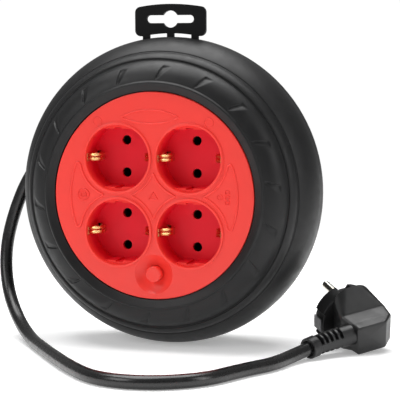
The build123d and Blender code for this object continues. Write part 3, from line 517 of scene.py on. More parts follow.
# Corners of the shell's face: distance from the axis, depth behind the ridge's top, corner radius.
RIDGE = ((64.4, 0.25, 0.3), (65.0, 0.0, 0.35), (65.6, 0.3, 0.3), (66.2, 1.4, 0.4))
GROOVE = ((77.0, 9.4, 0.25), (78.0, 11.2, 0.5), (78.9, 10.6, 0.35))
STEP = ((82.2, 16.2, 0.25), (82.6, 16.95, 0.25), (83.0, 16.8, 0.3))
# Points that the curves between those corners pass through.
BAND_MIDDLE = (72.5, 4.1)
BEAD_MIDDLE = (81.5, 13.6)
OUTER_MIDDLE_R = 88.3
INNER_MIDDLE_R = 85.0
INNER_END_R = 76.0
LIP_R = 60.5
LIP_BACK_R = 67.0
LIP_BACK_Y = PANEL_Y + 2.1
SHELL_WALL = 2.5
RIM_LAND_Y = SEAM_Y - 2.0


def casing_profile():
    """The front shell's closed section: face, ridge, band, groove, bead, outer band, rim and inside."""
    def behind(corner):
        """A corner's distance from the axis and its place along Y."""
        return corner[0], RIDGE_Y + corner[1]

    def curve(first, middle, last, count):
        """Corners without rounding along the arc through three points, both ends left out."""
        return [(r, y, 0.0) for r, y in arc_through(first, middle, last, count)[1:]]

    def arc_y(radius, r):
        """Place along Y of the outer or inner arc at distance r from the axis."""
        return RIM_LAND_Y - math.sqrt(radius ** 2 - (r - centre_r) ** 2)

    step_r, step_y = behind(STEP[-1])
    breadth = CASING_R - step_r
    outer_r = (breadth ** 2 + (RIM_LAND_Y - step_y) ** 2) / (2 * breadth)
    inner_r = outer_r - SHELL_WALL
    centre_r = CASING_R - outer_r
    inside_r = CASING_R - SHELL_WALL
    corners = [(LIP_R, PANEL_Y - 0.1, 0.25)]
    corners += [(*behind(corner), corner[2]) for corner in RIDGE]
    corners += curve(behind(RIDGE[-1]), behind(BAND_MIDDLE), behind(GROOVE[0]), 30)
    corners += [(*behind(corner), corner[2]) for corner in GROOVE]
    corners += curve(behind(GROOVE[-1]), behind(BEAD_MIDDLE), behind(STEP[0]), 7)
    corners += [(*behind(corner), corner[2]) for corner in STEP]
    corners += curve((step_r, arc_y(outer_r, step_r)), (OUTER_MIDDLE_R, arc_y(outer_r, OUTER_MIDDLE_R)),
                     (CASING_R, RIM_LAND_Y), 14)
    corners += [(CASING_R, RIM_LAND_Y, 0.0), (CASING_R, SEAM_Y, 0.35), (inside_r, SEAM_Y, 0.2)]
    corners += [(inside_r, RIM_LAND_Y, 0.0)]
    corners += curve((inside_r, RIM_LAND_Y), (INNER_MIDDLE_R, arc_y(inner_r, INNER_MIDDLE_R)),
                     (INNER_END_R, arc_y(inner_r, INNER_END_R)), 6)
    corners += [(INNER_END_R, arc_y(inner_r, INNER_END_R), 0.0), (LIP_BACK_R, LIP_BACK_Y, 0.3)]
    corners += [(LIP_R, LIP_BACK_Y, 0.25)]
    return rounded(corners)


def dent_share(reach, across):
    """Depth of a dent, 0 to 1, at a share of its length and a distance from its middle line.

    The dent is a wedge: its half width grows from the tip as the root of the reach, one side falls
    steeply from a crease, the other rises slowly, and both ends fade out.
    """
    look = settings()
    half = 0.5 * look.dent_width * np.sqrt(np.clip(reach, 0.0, 1.0)) + 1e-6
    side = across / half
    steep = smooth_step((1.0 - side) / 0.22)
    slow = smooth_step((side + 1.0) / 1.7)
    ends = smooth_step(reach / 0.25) * smooth_step((1.0 - reach) / 0.10)
    return steep * slow * ends


def casing_front():
    """Front shell: its section turned about the axis, with dents sunk along the band's normal.

    The columns lean with the dents across the band, and stand closer over each dent.
    """
    profile = casing_profile()
    radius = profile[:, :1]
    step = 360.0 / DENT_COUNT
    close = np.linspace(-DENT_CLOSE, DENT_CLOSE, 27)
    wide = np.linspace(DENT_CLOSE, step - DENT_CLOSE, 13, endpoint=False)[1:]
    sector = np.concatenate([close, wide])
    starts = DENT_FIRST + step * np.arange(DENT_COUNT)
    angles = np.radians((starts[:, None] + sector[None]).ravel())[None]
    along = (radius - DENT_INNER) / (DENT_OUTER - DENT_INNER)
    turn = angles - math.radians(DENT_SLANT) * np.clip(along, 0.0, 1.0)
    points = turned(profile, turn)
    on_face = np.arange(len(profile)) < np.argmax(profile[:, 0])
    reach = np.where(on_face[:, None], along, 0.0)
    reach = np.where((reach > 0.0) & (reach < 1.0), reach, 0.0)
    across = np.tile(np.radians(sector), DENT_COUNT)[None] * radius
    depth = settings().dent_depth * dent_share(reach, across)
    slope = np.gradient(profile, axis=0)
    normal = np.stack([slope[:, 1], -slope[:, 0]], axis=1)
    normal /= np.linalg.norm(normal, axis=1, keepdims=True)
    normal *= -np.sign(normal[:, 1:2] + 1e-9)
    shift = -depth[..., None] * normal[:, None]
    points[..., 0] += shift[..., 0] * np.cos(turn)
    points[..., 2] += shift[..., 0] * np.sin(turn)
    points[..., 1] += shift[..., 1]
    shape = Shape()
    shape.grid(points, wrap_rows=True, wrap_columns=True)
    piece = shape.piece("casing_front", finish_for("casing_plastic"), "casing", "casing_plastic", sharp=50.0)
    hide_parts("front_shell")


# ================= socket panel =================
def well_rims():
    """Four rounded lips round the wells: a closed half-round section turned about each well's axis."""
    top = CUP_FACE_Y - 0.08
    inner = SOCKET_R - 0.06
    outer = SOCKET_R + 1.2
    corners = [
        (inner, PANEL_Y + 1.6, 0.0),
        (inner, top, 0.55),
        (outer + 0.08, top, 0.6),
        (outer + 0.1, PANEL_Y - 0.12, 0.12),
        (outer + 0.7, PANEL_Y + 0.05, 0.1),
        (outer, PANEL_Y + 0.3, 0.0),
    ]
    profile = rounded(corners, steps=5)
    shape = Shape()
    for well in WELLS:
        shape.grid(turned(profile, full_circle(128), well), wrap_rows=True, wrap_columns=True)
    shape.piece("well_rims", finish_for("panel_red"), "drum", "panel_red", sharp=60.0)


# The raised marks: spacing of their points, how far they are sunk, and distances from edges.
MARK_STEP = 0.5
SMALL_MARK_STEP = 0.4
MARK_SUNK = 0.05
EDGE_CLEAR = 9.6
CRESCENT_CLEAR = 3.8
STAR_CLEAR = 3.6
CRESCENT_REACH = 0.385
LENS_LEFT = (-19.0, 45.2)
LENS_TOP = (-1.5, 49.6)
LENS_RIGHT = (16.0, 45.2)
LENS_BOTTOM = (-1.5, 41.6)
LEFT_MARK_IN = 17.5
RIGHT_MARK_IN = 16.0
UPPER_RINGS = ((-33.5, 42.5), (33.5, 42.5))
TRIANGLE = ((-2.6, -1.9), (2.8, -1.9), (0.1, 2.3))


def arc_points(centre, radius, first, last, count):
    """Points of a circle from one angle to another, in degrees."""
    angle = np.radians(np.linspace(first, last, count))
    return np.stack([centre[0] + radius * np.cos(angle), centre[1] + radius * np.sin(angle)], axis=1)


def raised_line(shape, outline, width, height):
    """A half-round bead that follows a closed outline on the panel's face."""
    face = np.full(len(outline), PANEL_Y + MARK_SUNK)
    path = np.stack([outline[:, 0], face, AXIS_Z + outline[:, 1]], axis=1)
    angle = np.linspace(0.0, math.pi, 7)
    arch = np.stack([0.5 * width * np.cos(angle), (height + MARK_SUNK) * np.sin(angle)], axis=1)
    ahead = np.roll(path, -1, axis=0) - np.roll(path, 1, axis=0)
    ahead /= np.linalg.norm(ahead, axis=1, keepdims=True)
    out = np.array([0.0, -1.0, 0.0])
    side = np.cross(ahead, out)
    points = path[:, None] + arch[None, :, :1] * side[:, None] + arch[None, :, 1:] * out
    shape.grid(points, wrap_rows=True, wrap_columns=True)


def resampled(outline, step):
    """The same closed outline with evenly spaced points."""
    ring = np.vstack([outline, outline[:1]])
    run = np.concatenate([[0.0], np.cumsum(np.linalg.norm(np.diff(ring, axis=0), axis=1))])
    spots = np.linspace(0.0, run[-1], max(int(run[-1] / step), 8), endpoint=False)
    return np.stack([np.interp(spots, run, ring[:, axis]) for axis in (0, 1)], axis=1)


def eased(outline, times=6):
    """Rounds the corners of a closed outline: each point moves to the mean of its neighbours."""
    for _ in range(times):
        outline = 0.5 * outline + 0.25 * (np.roll(outline, 1, axis=0) + np.roll(outline, -1, axis=0))
    return outline


def crescent_outline(side):
    """Closed outline between the disc's edge and two wells: one arc outside, two arcs inside."""
    clear = SOCKET_R + CRESCENT_CLEAR
    tip = math.degrees(math.asin(CRESCENT_REACH))
    right = arc_points((0.0, 0.0), PANEL_R - EDGE_CLEAR, -tip, tip, 30)
    reach = right[-1] - np.array([SOCKET_HALF, SOCKET_HALF])
    start = math.degrees(math.atan2(reach[1], reach[0]))
    inner = math.degrees(math.asin(-SOCKET_HALF / clear))
    over = arc_points((SOCKET_HALF, SOCKET_HALF), clear, start, inner, 20)
    under = over[::-1] * np.array([1.0, -1.0])
    outline = np.vstack([right, over[1:], under[:-1]])
    return eased(resampled(outline * np.array([side, 1.0]), MARK_STEP))


def star_outline():
    """Four-pointed outline between the wells, made of four arcs about the wells' middles."""
    clear = SOCKET_R + STAR_CLEAR
    lean = math.degrees(math.acos(SOCKET_HALF / clear))
    quarter = arc_points((SOCKET_HALF, SOCKET_HALF), clear, 270 - lean, 180 + lean, 16)
    turns = []
    for index in range(4):
        angle = math.radians(90 * index)
        spin = np.array([[math.cos(angle), math.sin(angle)], [-math.sin(angle), math.cos(angle)]])
        turns.append(quarter @ spin)
    return eased(resampled(np.vstack(turns), MARK_STEP))


def lens_outline():
    """Long pointed oval above the wells: two arcs that meet at their ends."""
    upper = arc_through(LENS_LEFT, LENS_TOP, LENS_RIGHT, 24)
    lower = arc_through(LENS_RIGHT, LENS_BOTTOM, LENS_LEFT, 24)
    return eased(resampled(np.vstack([upper, lower]), MARK_STEP), 3)


def ring_outline(x, z, radius, count):
    """A small circle, closed by the bead that follows it."""
    return arc_points((x, z), radius, 0, 350, count)


def box_outline(low_x, low_z, high_x, high_z):
    """A small rectangle."""
    corners = np.array([(low_x, low_z), (high_x, low_z), (high_x, high_z), (low_x, high_z)])
    return resampled(corners, SMALL_MARK_STEP)


def panel_marks():
    """Raised outlines on the panel: two crescents, a star, a lens, rings and small plain symbols."""
    height = settings().outline_height
    low = height * 0.8
    shape = Shape()
    for side in (1, -1):
        raised_line(shape, crescent_outline(side), 1.3, height)
    raised_line(shape, star_outline(), 1.3, height)
    raised_line(shape, lens_outline(), 1.0, height * 0.7)
    left = -PANEL_R + LEFT_MARK_IN
    raised_line(shape, ring_outline(left, 0.0, 3.4, 36), 0.55, low)
    raised_line(shape, box_outline(left - 1.5, -1.2, left + 1.5, 1.2), 0.45, low)
    right = PANEL_R - RIGHT_MARK_IN
    raised_line(shape, ring_outline(right - 4.0, 0.0, 1.6, 24), 0.5, low)
    for z in (-3.0, 0.0, 3.0):
        raised_line(shape, box_outline(right - 0.8, z - 0.9, right + 1.6, z + 0.9), 0.45, low)
    raised_line(shape, resampled(np.array(TRIANGLE), SMALL_MARK_STEP), 0.55, low)
    for x, z in UPPER_RINGS:
        raised_line(shape, ring_outline(x, z, 2.6, 30), 0.6, height * 0.45)
    shape.piece("panel_marks", finish_for("panel_red"), "drum", "panel_red", sharp=60.0)


BUTTON_R = 4.65
BUTTON_EDGE_R = 0.9
BUTTON_PROUD = 1.4
FLANGE_BEHIND = 10.4
FLANGE_LIP = 0.5
FLANGE_THICK = 1.0
STEM_R = 1.8


def reset_button():
    """Button, flange and stem: one section turned about the button's own axis, closed at both poles."""
    top = BUTTON_LOW[1] - BUTTON_PROUD
    flange = top + FLANGE_BEHIND
    flange_end = flange + FLANGE_THICK
    flange_r = BUTTON_R + FLANGE_LIP
    end = BUTTON_HIGH[1]
    dome = [(0.0, top + 0.14), (1.5, top + 0.12), (2.9, top + 0.02), (3.5, top)]
    edge = arc_points((BUTTON_R - BUTTON_EDGE_R, top + BUTTON_EDGE_R), BUTTON_EDGE_R, -90, 0, 7)
    low = [(BUTTON_R, flange), (flange_r, flange), (flange_r, flange_end)]
    low += [(STEM_R, flange_end), (STEM_R, end), (0.0, end)]
    shape = Shape()
    middle = (0.0, BUTTON_Z - AXIS_Z)
    shape.grid(turned(np.vstack([dome, edge, low]), full_circle(72), middle), wrap_columns=True)
    piece = shape.piece("button_cap", finish_for("panel_red"), "button", "panel_red", sharp=40.0)
    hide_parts("reset_button")


# ================= earth contacts =================
STRIP_EASE = 0.12
STRIP_FLAT = 0.6
STRIP_HALF = 2.4
STRIP_THICK = 0.8
STRIP_Y = PANEL_Y + SOCKET_DEPTH + 2.5
STRIP_REACH = SOCKET_HALF + SOCKET_R - 1.6
LINK_HALF = 2.0
LINK_RIGHT = 7.6
LINK_LOW = 3.6
TAB_BACK_Y = 9.0
CLIP_START_Y = PANEL_Y + SOCKET_DEPTH + 2.2
CLIP_END_Y = PANEL_Y + 1.2
CLIP_FROM_WALL = 0.9
# How far a finger stands off the wall: at its foot, more at its belly, and less at its tip.
FINGER_FOOT = 4.4
FINGER_BELLY = 0.8
FINGER_TIP = 5.6
BELLY_SHARE = 0.45
FINGER_OFFSET = 1.22
FINGER_HALF = 1.0
FINGER_THICK = 0.5


def strip(shape, path, low, high, thickness=STRIP_THICK):
    """A flat strip of sheet metal: a path of (x, y) points, given a thickness and a width along Z."""
    path = np.asarray(path, float)
    way = np.gradient(path, axis=0)
    way /= np.linalg.norm(way, axis=1, keepdims=True)
    side = np.stack([-way[:, 1], way[:, 0]], axis=1) * thickness / 2
    lower, upper = low + STRIP_EASE, high - STRIP_EASE
    ring = [(-1, lower), (-STRIP_FLAT, low), (STRIP_FLAT, low), (1, lower),
            (1, upper), (STRIP_FLAT, high), (-STRIP_FLAT, high), (-1, upper)]
    flat = np.stack([path + sign * side for sign, _ in ring], axis=1)
    level = np.broadcast_to(np.array([z for _, z in ring]) + AXIS_Z, flat.shape[:2])
    shape.grid(capped(np.concatenate([flat, level[..., None]], axis=-1)), wrap_columns=True)


def clip_path(x, side):
    """One spring finger, in (x, y): up the well's wall, a swell towards the middle, and a rolled tip."""
    share = np.linspace(0.0, 1.0, 36)
    y = CLIP_START_Y + (CLIP_END_Y - CLIP_START_Y) * share
    belly = FINGER_BELLY * smooth_step(share / BELLY_SHARE)
    tip = FINGER_TIP * smooth_step((share - BELLY_SHARE) / BELLY_SHARE)
    swell = FINGER_FOOT + belly - tip
    return np.stack([x + side * (SOCKET_R - CLIP_FROM_WALL - swell), y], axis=1)


def earth_contacts():
    """Earth strips behind the wells, their link and tab, and eight clips of two fingers each."""
    y = STRIP_Y
    shape = Shape()
    for z in (SOCKET_HALF, -SOCKET_HALF):
        strip(shape, line((-STRIP_REACH, y), (STRIP_REACH, y), 40), z - STRIP_HALF, z + STRIP_HALF)
    strip(shape, line((-LINK_HALF, y), (LINK_HALF, y), 4), LINK_LOW, SOCKET_HALF)
    strip(shape, line((LINK_HALF - 0.4, y), (LINK_RIGHT, y), 5), LINK_LOW, LINK_RIGHT)
    strip(shape, line((LINK_LOW, y), (LINK_RIGHT, y), 4), -SOCKET_HALF, LINK_LOW + 2.0)
    tab = line((0.0, y - STRIP_THICK / 2), (0.0, TAB_BACK_Y), 9)
    strip(shape, tab, SOCKET_HALF + 0.6, SOCKET_HALF + 1.4, thickness=4.0)
    for x, z in WELLS:
        for side in (1, -1):
            path = clip_path(x, side)
            for finger in (-1, 1):
                middle = z + finger * FINGER_OFFSET
                strip(shape, path, middle - FINGER_HALF, middle + FINGER_HALF, FINGER_THICK)
    piece = shape.piece("earth_contacts", finish_for("contact_brass"), "drum", "contact_brass", sharp=40.0)
    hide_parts("earth_bar")


# ================= wound cable =================
LANES = 4
TURN_POINTS = 96
STEP_SHARE = 0.125
CORE_INSET = 3.9
LEAVES_AT = 143.0
SHEATH_SLACK = 0.06


def winding():
    """Cable wound on the drum: a round section carried round and round.

    Each turn stays in its own lane and steps to the next lane or layer over its last eighth.
    """
    turns = settings().winding_turns
    first_r = PANEL_R - CORE_INSET + CORD_R
    low, high = WINDING_LOW[1] + CORD_R, WINDING_HIGH[1] - CORD_R
    pitch = (high - low) / (LANES - 1)
    index = np.minimum(np.arange(turns + 1), turns - 1)
    layer = index // LANES
    lane = np.where(layer % 2 == 0, index % LANES, LANES - 1 - index % LANES)
    turn = np.linspace(0.0, turns, turns * TURN_POINTS + 1)
    now = np.minimum(turn.astype(int), turns - 1)
    step = smooth_step((turn - now - (1 - STEP_SHARE)) / STEP_SHARE)
    radius = first_r + CORD_D * (layer[now] * (1 - step) + layer[now + 1] * step)
    y = low + pitch * (lane[now] * (1 - step) + lane[now + 1] * step)
    angle = math.radians(LEAVES_AT) + 2 * math.pi * (turn - turns)
    path = np.stack([radius * np.cos(angle), y, AXIS_Z + radius * np.sin(angle)], axis=1)
    outwards = np.stack([np.cos(angle), np.zeros_like(angle), np.sin(angle)], axis=1)
    tube = along_path(path, outwards, round_section(CORD_R - SHEATH_SLACK, 14))
    shape = Shape()
    shape.grid(capped(tube), wrap_columns=True)
    piece = shape.piece("cable_winding", finish_for("cable_pvc"), "drum", "cable_pvc", sharp=60.0)
    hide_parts("wound_cable")


# ================= plug =================
def direction(heading, dip):
    """A unit vector at a heading about +Z, dipped below the horizontal, in degrees."""
    level = math.cos(math.radians(dip))
    heading = math.radians(heading)
    return np.array([math.cos(heading) * level, math.sin(heading) * level, -math.sin(math.radians(dip))])


SLEEVE_BEND = 25.0
SLEEVE_STRAIGHT = 5.0
SLEEVE_ROOT = 8.0
SLEEVE_LEVEL = -24.0
PLUG_FACE_R = 18.6
PLUG_FACE_DEPTH = 9.0
GROOVE_HALF = 3.1
GROOVE_DEPTH = 2.4
FLAT_HALF = 7.2
FLAT_DEPTH = 1.3
EDGE_FADE = 0.5
# The disc from its middle to its rear edge: share of the rim's radius, and height above the face.
DISC_LEVELS = (
    (0.0, 0.0),
    (13.5 / PLUG_FACE_R, 0.0),
    (13.7 / PLUG_FACE_R, -0.5),
    (14.3 / PLUG_FACE_R, -0.5),
    (14.6 / PLUG_FACE_R, 0.0),
    (0.955, 0.0),
    (0.985, -0.15),
    (1.0, -0.65),
    (1.0, -PLUG_FACE_DEPTH + 0.3),
    (0.97, -PLUG_FACE_DEPTH - 0.3),
)
RIM_SHARE = 0.9
# The housing's rounded rectangle at each depth: height above the face, x0, x1, y0, y1, corner.
HOUSING_LEVELS = np.array([
    (-8.0, -12.0, 8.6, -14.0, 19.6, 8.0),
    (-8.4, -13.4, 9.6, -15.0, 21.0, 8.6),
    (-9.0, -13.9, 10.0, -15.4, 21.4, 8.8),
    (-17.0, -19.8, 9.8, -13.5, 9.2, 3.0),
    (-17.8, -19.8, 9.7, -13.3, 8.7, 2.6),
    (-24.6, -19.2, 7.6, -11.2, 7.4, 2.2),
    (-25.3, -18.6, 7.4, -11.0, 7.3, 2.0),
    (-30.7, -12.8, 6.6, -10.6, 7.2, 1.6),
    (-31.2, -12.3, 6.1, -10.2, 6.8, 1.3),
    (-31.5, -11.6, 5.4, -9.6, 6.2, 1.0),
])
FRONT_POLE_X = -2.0
REAR_POLE_X = -1.0


def sleeve_line(reach):
    """Points of the sleeve's middle line from where it starts to bend.

    It is an arc seen from above, dipping evenly.
    """
    reach = np.asarray(reach, float)
    turn = math.radians(CORD_HEADING - PLUG_HEADING) * np.clip(reach, 0.0, None) / SLEEVE_BEND
    chord = reach * np.sinc(turn / 2 / math.pi)
    heading = math.radians(PLUG_HEADING) + turn / 2
    level = math.cos(math.radians(PLUG_DIP)) * chord
    drop = -np.sin(math.radians(PLUG_DIP)) * reach
    return np.stack([np.cos(heading) * level, np.sin(heading) * level, drop], axis=-1)


PLUG_ALONG = direction(PLUG_HEADING, PLUG_DIP)
PLUG_SIDEWAYS = np.array([math.sin(math.radians(PLUG_HEADING)), -math.cos(math.radians(PLUG_HEADING)), 0.0])
PLUG_PINS = (PLUG_SIDEWAYS * math.cos(math.radians(PLUG_ROLL))
             + np.cross(PLUG_SIDEWAYS, PLUG_ALONG) * math.sin(math.radians(PLUG_ROLL)))
PLUG_ACROSS = np.cross(PLUG_PINS, PLUG_ALONG)
SLEEVE_START = np.array(CORD_END) - sleeve_line(SLEEVE_BEND)
PLUG_MIDDLE = SLEEVE_START - PLUG_ALONG * (SLEEVE_ROOT + SLEEVE_STRAIGHT) - PLUG_PINS * SLEEVE_LEVEL


def on_plug(points):
    """Moves points from the plug's own axes (along the cord, across, along the pins) to the frame."""
    return PLUG_MIDDLE + points @ np.stack([PLUG_ALONG, PLUG_ACROSS, PLUG_PINS])


def rounded_box_ring(x0, x1, y0, y1, corner, arc=9, side=13):
    """One closed ring of a rounded rectangle, with the same number of points for any size."""
    angle = np.linspace(0.0, math.pi / 2, arc)
    quarter = np.stack([np.cos(angle), np.sin(angle)], axis=1) * corner
    spots = []
    for turn, (sx, sy) in enumerate(((1, 1), (-1, 1), (-1, -1), (1, -1))):
        cx = (x1 - corner) if sx > 0 else (x0 + corner)
        cy = (y1 - corner) if sy > 0 else (y0 + corner)
        spin = math.radians(90 * turn)
        spun = quarter @ np.array([[math.cos(spin), math.sin(spin)], [-math.sin(spin), math.cos(spin)]])
        spots.append(spun + np.array([cx, cy]))
    ring = []
    for turn in range(4):
        ring.append(spots[turn])
        ring.append(line(spots[turn][-1], spots[(turn + 1) % 4][0], side)[1:])
    return np.vstack(ring)


def plug_disc():
    """Moulded round disc of the plug: a circle less its grooves and flats, carried down its rim."""
    angle = np.linspace(0.0, 2 * math.pi, 144, endpoint=False)
    across = np.abs(np.cos(angle)) * PLUG_FACE_R
    along = np.abs(np.sin(angle)) * PLUG_FACE_R
    groove = 1 - smooth_step((across - GROOVE_HALF) / EDGE_FADE)
    flat = 1 - smooth_step((along - FLAT_HALF) / EDGE_FADE)
    rim = PLUG_FACE_R - GROOVE_DEPTH * groove - FLAT_DEPTH * flat
    rows = []
    for share, z in DISC_LEVELS:
        radius = rim * share if share > RIM_SHARE else np.minimum(PLUG_FACE_R * share, rim)
        level = np.full_like(angle, z)
        rows.append(np.stack([radius * np.cos(angle), radius * np.sin(angle), level], axis=1))
    rows.append(rows[-1] * np.array([0.0, 0.0, 1.0]))
    shape = Shape()
    shape.grid(on_plug(np.array(rows)), wrap_columns=True)
    shape.piece("plug_disc", finish_for("plug_disc"), "casing", "plug_pvc", sharp=28.0)


def plug_housing():
    """Faceted housing behind the disc, down to its flat rear.

    It is a rounded rectangle whose sides and corner radius change evenly from level to level.
    """
    levels = HOUSING_LEVELS[:, 0]
    depths = [*levels[:2], *np.linspace(levels[2], levels[3], 12), *np.linspace(levels[4], levels[5], 8),
              *np.linspace(levels[6], levels[7], 8), *levels[8:]]
    rings = []
    for depth in depths:
        size = [np.interp(-depth, -levels, HOUSING_LEVELS[:, column]) for column in range(1, 6)]
        ring = rounded_box_ring(*size)
        rings.append(np.concatenate([ring, np.full((len(ring), 1), depth)], axis=1))
    level = np.array([0.0, 0.0, 1.0])
    first = rings[0] * level + np.array([FRONT_POLE_X, 0.0, 0.0])
    last = rings[-1] * level + np.array([REAR_POLE_X, 0.0, 0.0])
    shape = Shape()
    shape.grid(on_plug(np.array([first, *rings, last])), wrap_columns=True)
    piece = shape.piece("plug_housing", finish_for("plug_pvc"), "casing", "plug_pvc", sharp=28.0)
    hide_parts("plug_body")
    return piece


SLEEVE_SUNK = 6.0
SLEEVE_POINTS = 180
SLEEVE_COLUMNS = 64
SLEEVE_ROOT_R = 6.4
SLEEVE_TAPER = 0.9
COLLAR_FROM = 18.6
COLLAR_PROUD = 0.55
SLOTS = 5
SLOT_PITCH = 3.6
SLOT_FIRST = 1.2
SLOT_DEPTH = 2.3
# A slot's half width and its flank, as shares of the pitch, and where it opens round the sleeve.
SLOT_HALF = 0.31
SLOT_FLANK = 0.07
SLOT_OPENS = 0.42
SLOT_CORNER = 0.12
# The mouth where the cord enters: radius, and distance past the sleeve's end.
SLEEVE_BORE = ((4.9, 0.0), (4.5, -0.3), (4.4, -2.5), (3.0, -2.6), (0.0, -2.6))


def strain_relief():
    """Sleeve bent with the cord: a round section whose radius dips in slots above and below."""
    start = -SLEEVE_STRAIGHT - SLEEVE_SUNK
    fine = np.linspace(start, SLEEVE_BEND - 0.5, SLEEVE_POINTS)
    reach = np.concatenate([fine, [SLEEVE_BEND - 0.25, SLEEVE_BEND]])
    spots = sleeve_line(reach)
    ways = np.gradient(spots, axis=0)
    ways /= np.linalg.norm(ways, axis=1, keepdims=True)
    sides = np.cross(ways, PLUG_ACROSS)
    sides /= np.linalg.norm(sides, axis=1, keepdims=True)
    tops = np.cross(sides, ways)
    around = np.linspace(0.0, 2 * math.pi, SLEEVE_COLUMNS, endpoint=False)
    taper = SLEEVE_ROOT_R - SLEEVE_TAPER * (reach - start) / (SLEEVE_BEND - start)
    collar = COLLAR_PROUD * smooth_step((reach - COLLAR_FROM) / 0.8)
    phase = (reach - SLOT_FIRST) / SLOT_PITCH
    inside = (phase > 0) & (phase < SLOTS)
    wave = np.abs(phase - np.floor(phase) - 0.5)
    slot = np.where(inside, smooth_step((SLOT_HALF - wave) / SLOT_FLANK), 0.0)
    facing = smooth_step((np.abs(np.sin(around)) - SLOT_OPENS) / SLOT_CORNER)
    radius = (taper + collar)[:, None] - SLOT_DEPTH * slot[:, None] * facing[None]
    radius[-2] -= 0.15
    radius[-1] -= 0.5

    def ring_at(row, size, shift=0.0):
        """One ring of points about the middle line."""
        middle = spots[row] + ways[row] * shift
        spokes = np.cos(around)[:, None] * sides[row] + np.sin(around)[:, None] * tops[row]
        return middle + np.reshape(size, (-1, 1)) * spokes

    rows = [ring_at(0, 0.0)]
    rows += [ring_at(row, radius[row]) for row in range(len(reach))]
    rows += [ring_at(-1, size, shift) for size, shift in SLEEVE_BORE]
    shape = Shape()
    shape.grid(SLEEVE_START + np.array(rows), wrap_columns=True)
    piece = shape.piece("strain_relief", finish_for("plug_pvc"), "casing", "plug_pvc", sharp=35.0)
    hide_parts("plug_sleeve")
    return piece


# ================= cord =================
def free_cord():
    """The free cord: one smooth spline whose control points are the route, with a round section."""
    curve = bpy.data.curves.new("free_cord", "CURVE")
    curve.dimensions = "3D"
    spline = curve.splines.new("NURBS")
    spline.points.add(len(CORD_ROUTE) - 1)
    points = np.ones((len(CORD_ROUTE), 4))
    points[:, :3] = np.array(CORD_ROUTE) * MM
    spline.points.foreach_set("co", points.ravel())
    spline.order_u = 3
    spline.use_endpoint_u = True
    spline.resolution_u = 12
    curve.bevel_depth = CORD_R * MM
    curve.bevel_resolution = 7
    curve.use_fill_caps = True
    curve.materials.append(finish_for("cable_pvc"))
    piece = bpy.data.objects.new("free_cord", curve)
    bpy.context.scene.collection.objects.link(piece)
    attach(piece, "casing")
    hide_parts("cord")


# ================= stage =================
CAMERA_SPOT = (0.286, -0.9078, 0.1829)
CAMERA_AZIMUTH = 16.432
CAMERA_ELEVATION = 5.856
CAMERA_TILT = -0.259
CAMERA_LENS = 144.6

# The floor glows like the room: strengths of light, and distances from the origin in metres.
ROOM_SEEN = 1.02
ROOM_LIGHT = 0.24
PAPER_GLOW = 0.30
FADE_FROM = 0.24
FADE_TO = 0.60
FLOOR_HALF = 2.5
# Soft boxes: name, place, width and height in metres, and power in watts.
LIT_SPOT = (0.0, 0.0, 0.09)
SOFT_BOXES = (
    ("top_box", (-0.1, 0.1, 1.2), (1.3, 1.0), 21.0),
    ("key_box", (-0.75, -1.05, 0.85), (0.7, 0.7), 5.5),
    ("right_box", (1.2, -0.3, 0.5), (0.25, 0.9), 3.0),
)


def make_camera():
    """Camera to the right of the sockets and a little above them, looking back at the reel."""
    azimuth = math.radians(CAMERA_AZIMUTH)
    elevation = math.radians(CAMERA_ELEVATION)
    tilt = math.radians(CAMERA_TILT)
    level = math.cos(elevation)
    back = Vector((math.sin(azimuth) * level, -math.cos(azimuth) * level, math.sin(elevation)))
    right = Vector((math.cos(azimuth), math.sin(azimuth), 0.0))
    up = back.cross(right)
    level_x = right * math.cos(tilt) + up * math.sin(tilt)
    level_y = up * math.cos(tilt) - right * math.sin(tilt)
    turn = Matrix((level_x, level_y, back)).transposed().to_4x4()
    camera = bpy.data.objects.new("camera", bpy.data.cameras.new("camera"))
    camera.data.lens = CAMERA_LENS
    camera.data.sensor_width = 36.0
    camera.data.clip_start = 0.01
    camera.matrix_world = Matrix.Translation(CAMERA_SPOT) @ turn
    bpy.context.scene.collection.objects.link(camera)
    bpy.context.scene.camera = camera


def floor_paper():
    """Pale paper near the reel that turns into plain white light further out from the origin."""
    material = finish(
        "floor_paper", settings().floor_colour, 0.9, mottle=0.004, grain=300.0, depth=0.02, specular=0.1)
    tree = material.node_tree
    shader = tree.nodes["Principled BSDF"]
    shader.inputs["Emission Color"].default_value = (1.0, 1.0, 1.0, 1.0)
    shader.inputs["Emission Strength"].default_value = PAPER_GLOW
    coords = tree.nodes.new("ShaderNodeTexCoord")
    length = tree.nodes.new("ShaderNodeVectorMath")
    length.operation = "LENGTH"
    tree.links.new(coords.outputs["Object"], length.inputs[0])
    fade = spread(tree, length.outputs["Value"], FADE_FROM, FADE_TO, 0.0, 1.0)
    glow = tree.nodes.new("ShaderNodeEmission")
    glow.inputs["Color"].default_value = (1.0, 1.0, 1.0, 1.0)
    glow.inputs["Strength"].default_value = ROOM_SEEN
    mix = tree.nodes.new("ShaderNodeMixShader")
    tree.links.new(fade, mix.inputs["Fac"])
    tree.links.new(shader.outputs["BSDF"], mix.inputs[1])
    tree.links.new(glow.outputs["Emission"], mix.inputs[2])
    tree.links.new(mix.outputs["Shader"], tree.nodes["Material Output"].inputs["Surface"])
    return material


def make_floor():
    """A wide level floor that fades into the pale surroundings."""
    count = 25
    spread_out = np.linspace(-FLOOR_HALF, FLOOR_HALF, count)
    x, y = np.meshgrid(spread_out, spread_out)
    points = np.stack([x, y, np.zeros_like(x)], axis=-1).reshape(-1, 3)
    mesh = bpy.data.meshes.new("floor")
    mesh.from_pydata(points.tolist(), [], grid_faces(count, count)[:, ::-1].tolist())
    floor = bpy.data.objects.new("floor", mesh)
    bpy.context.scene.collection.objects.link(floor)
    mesh.materials.append(floor_paper())


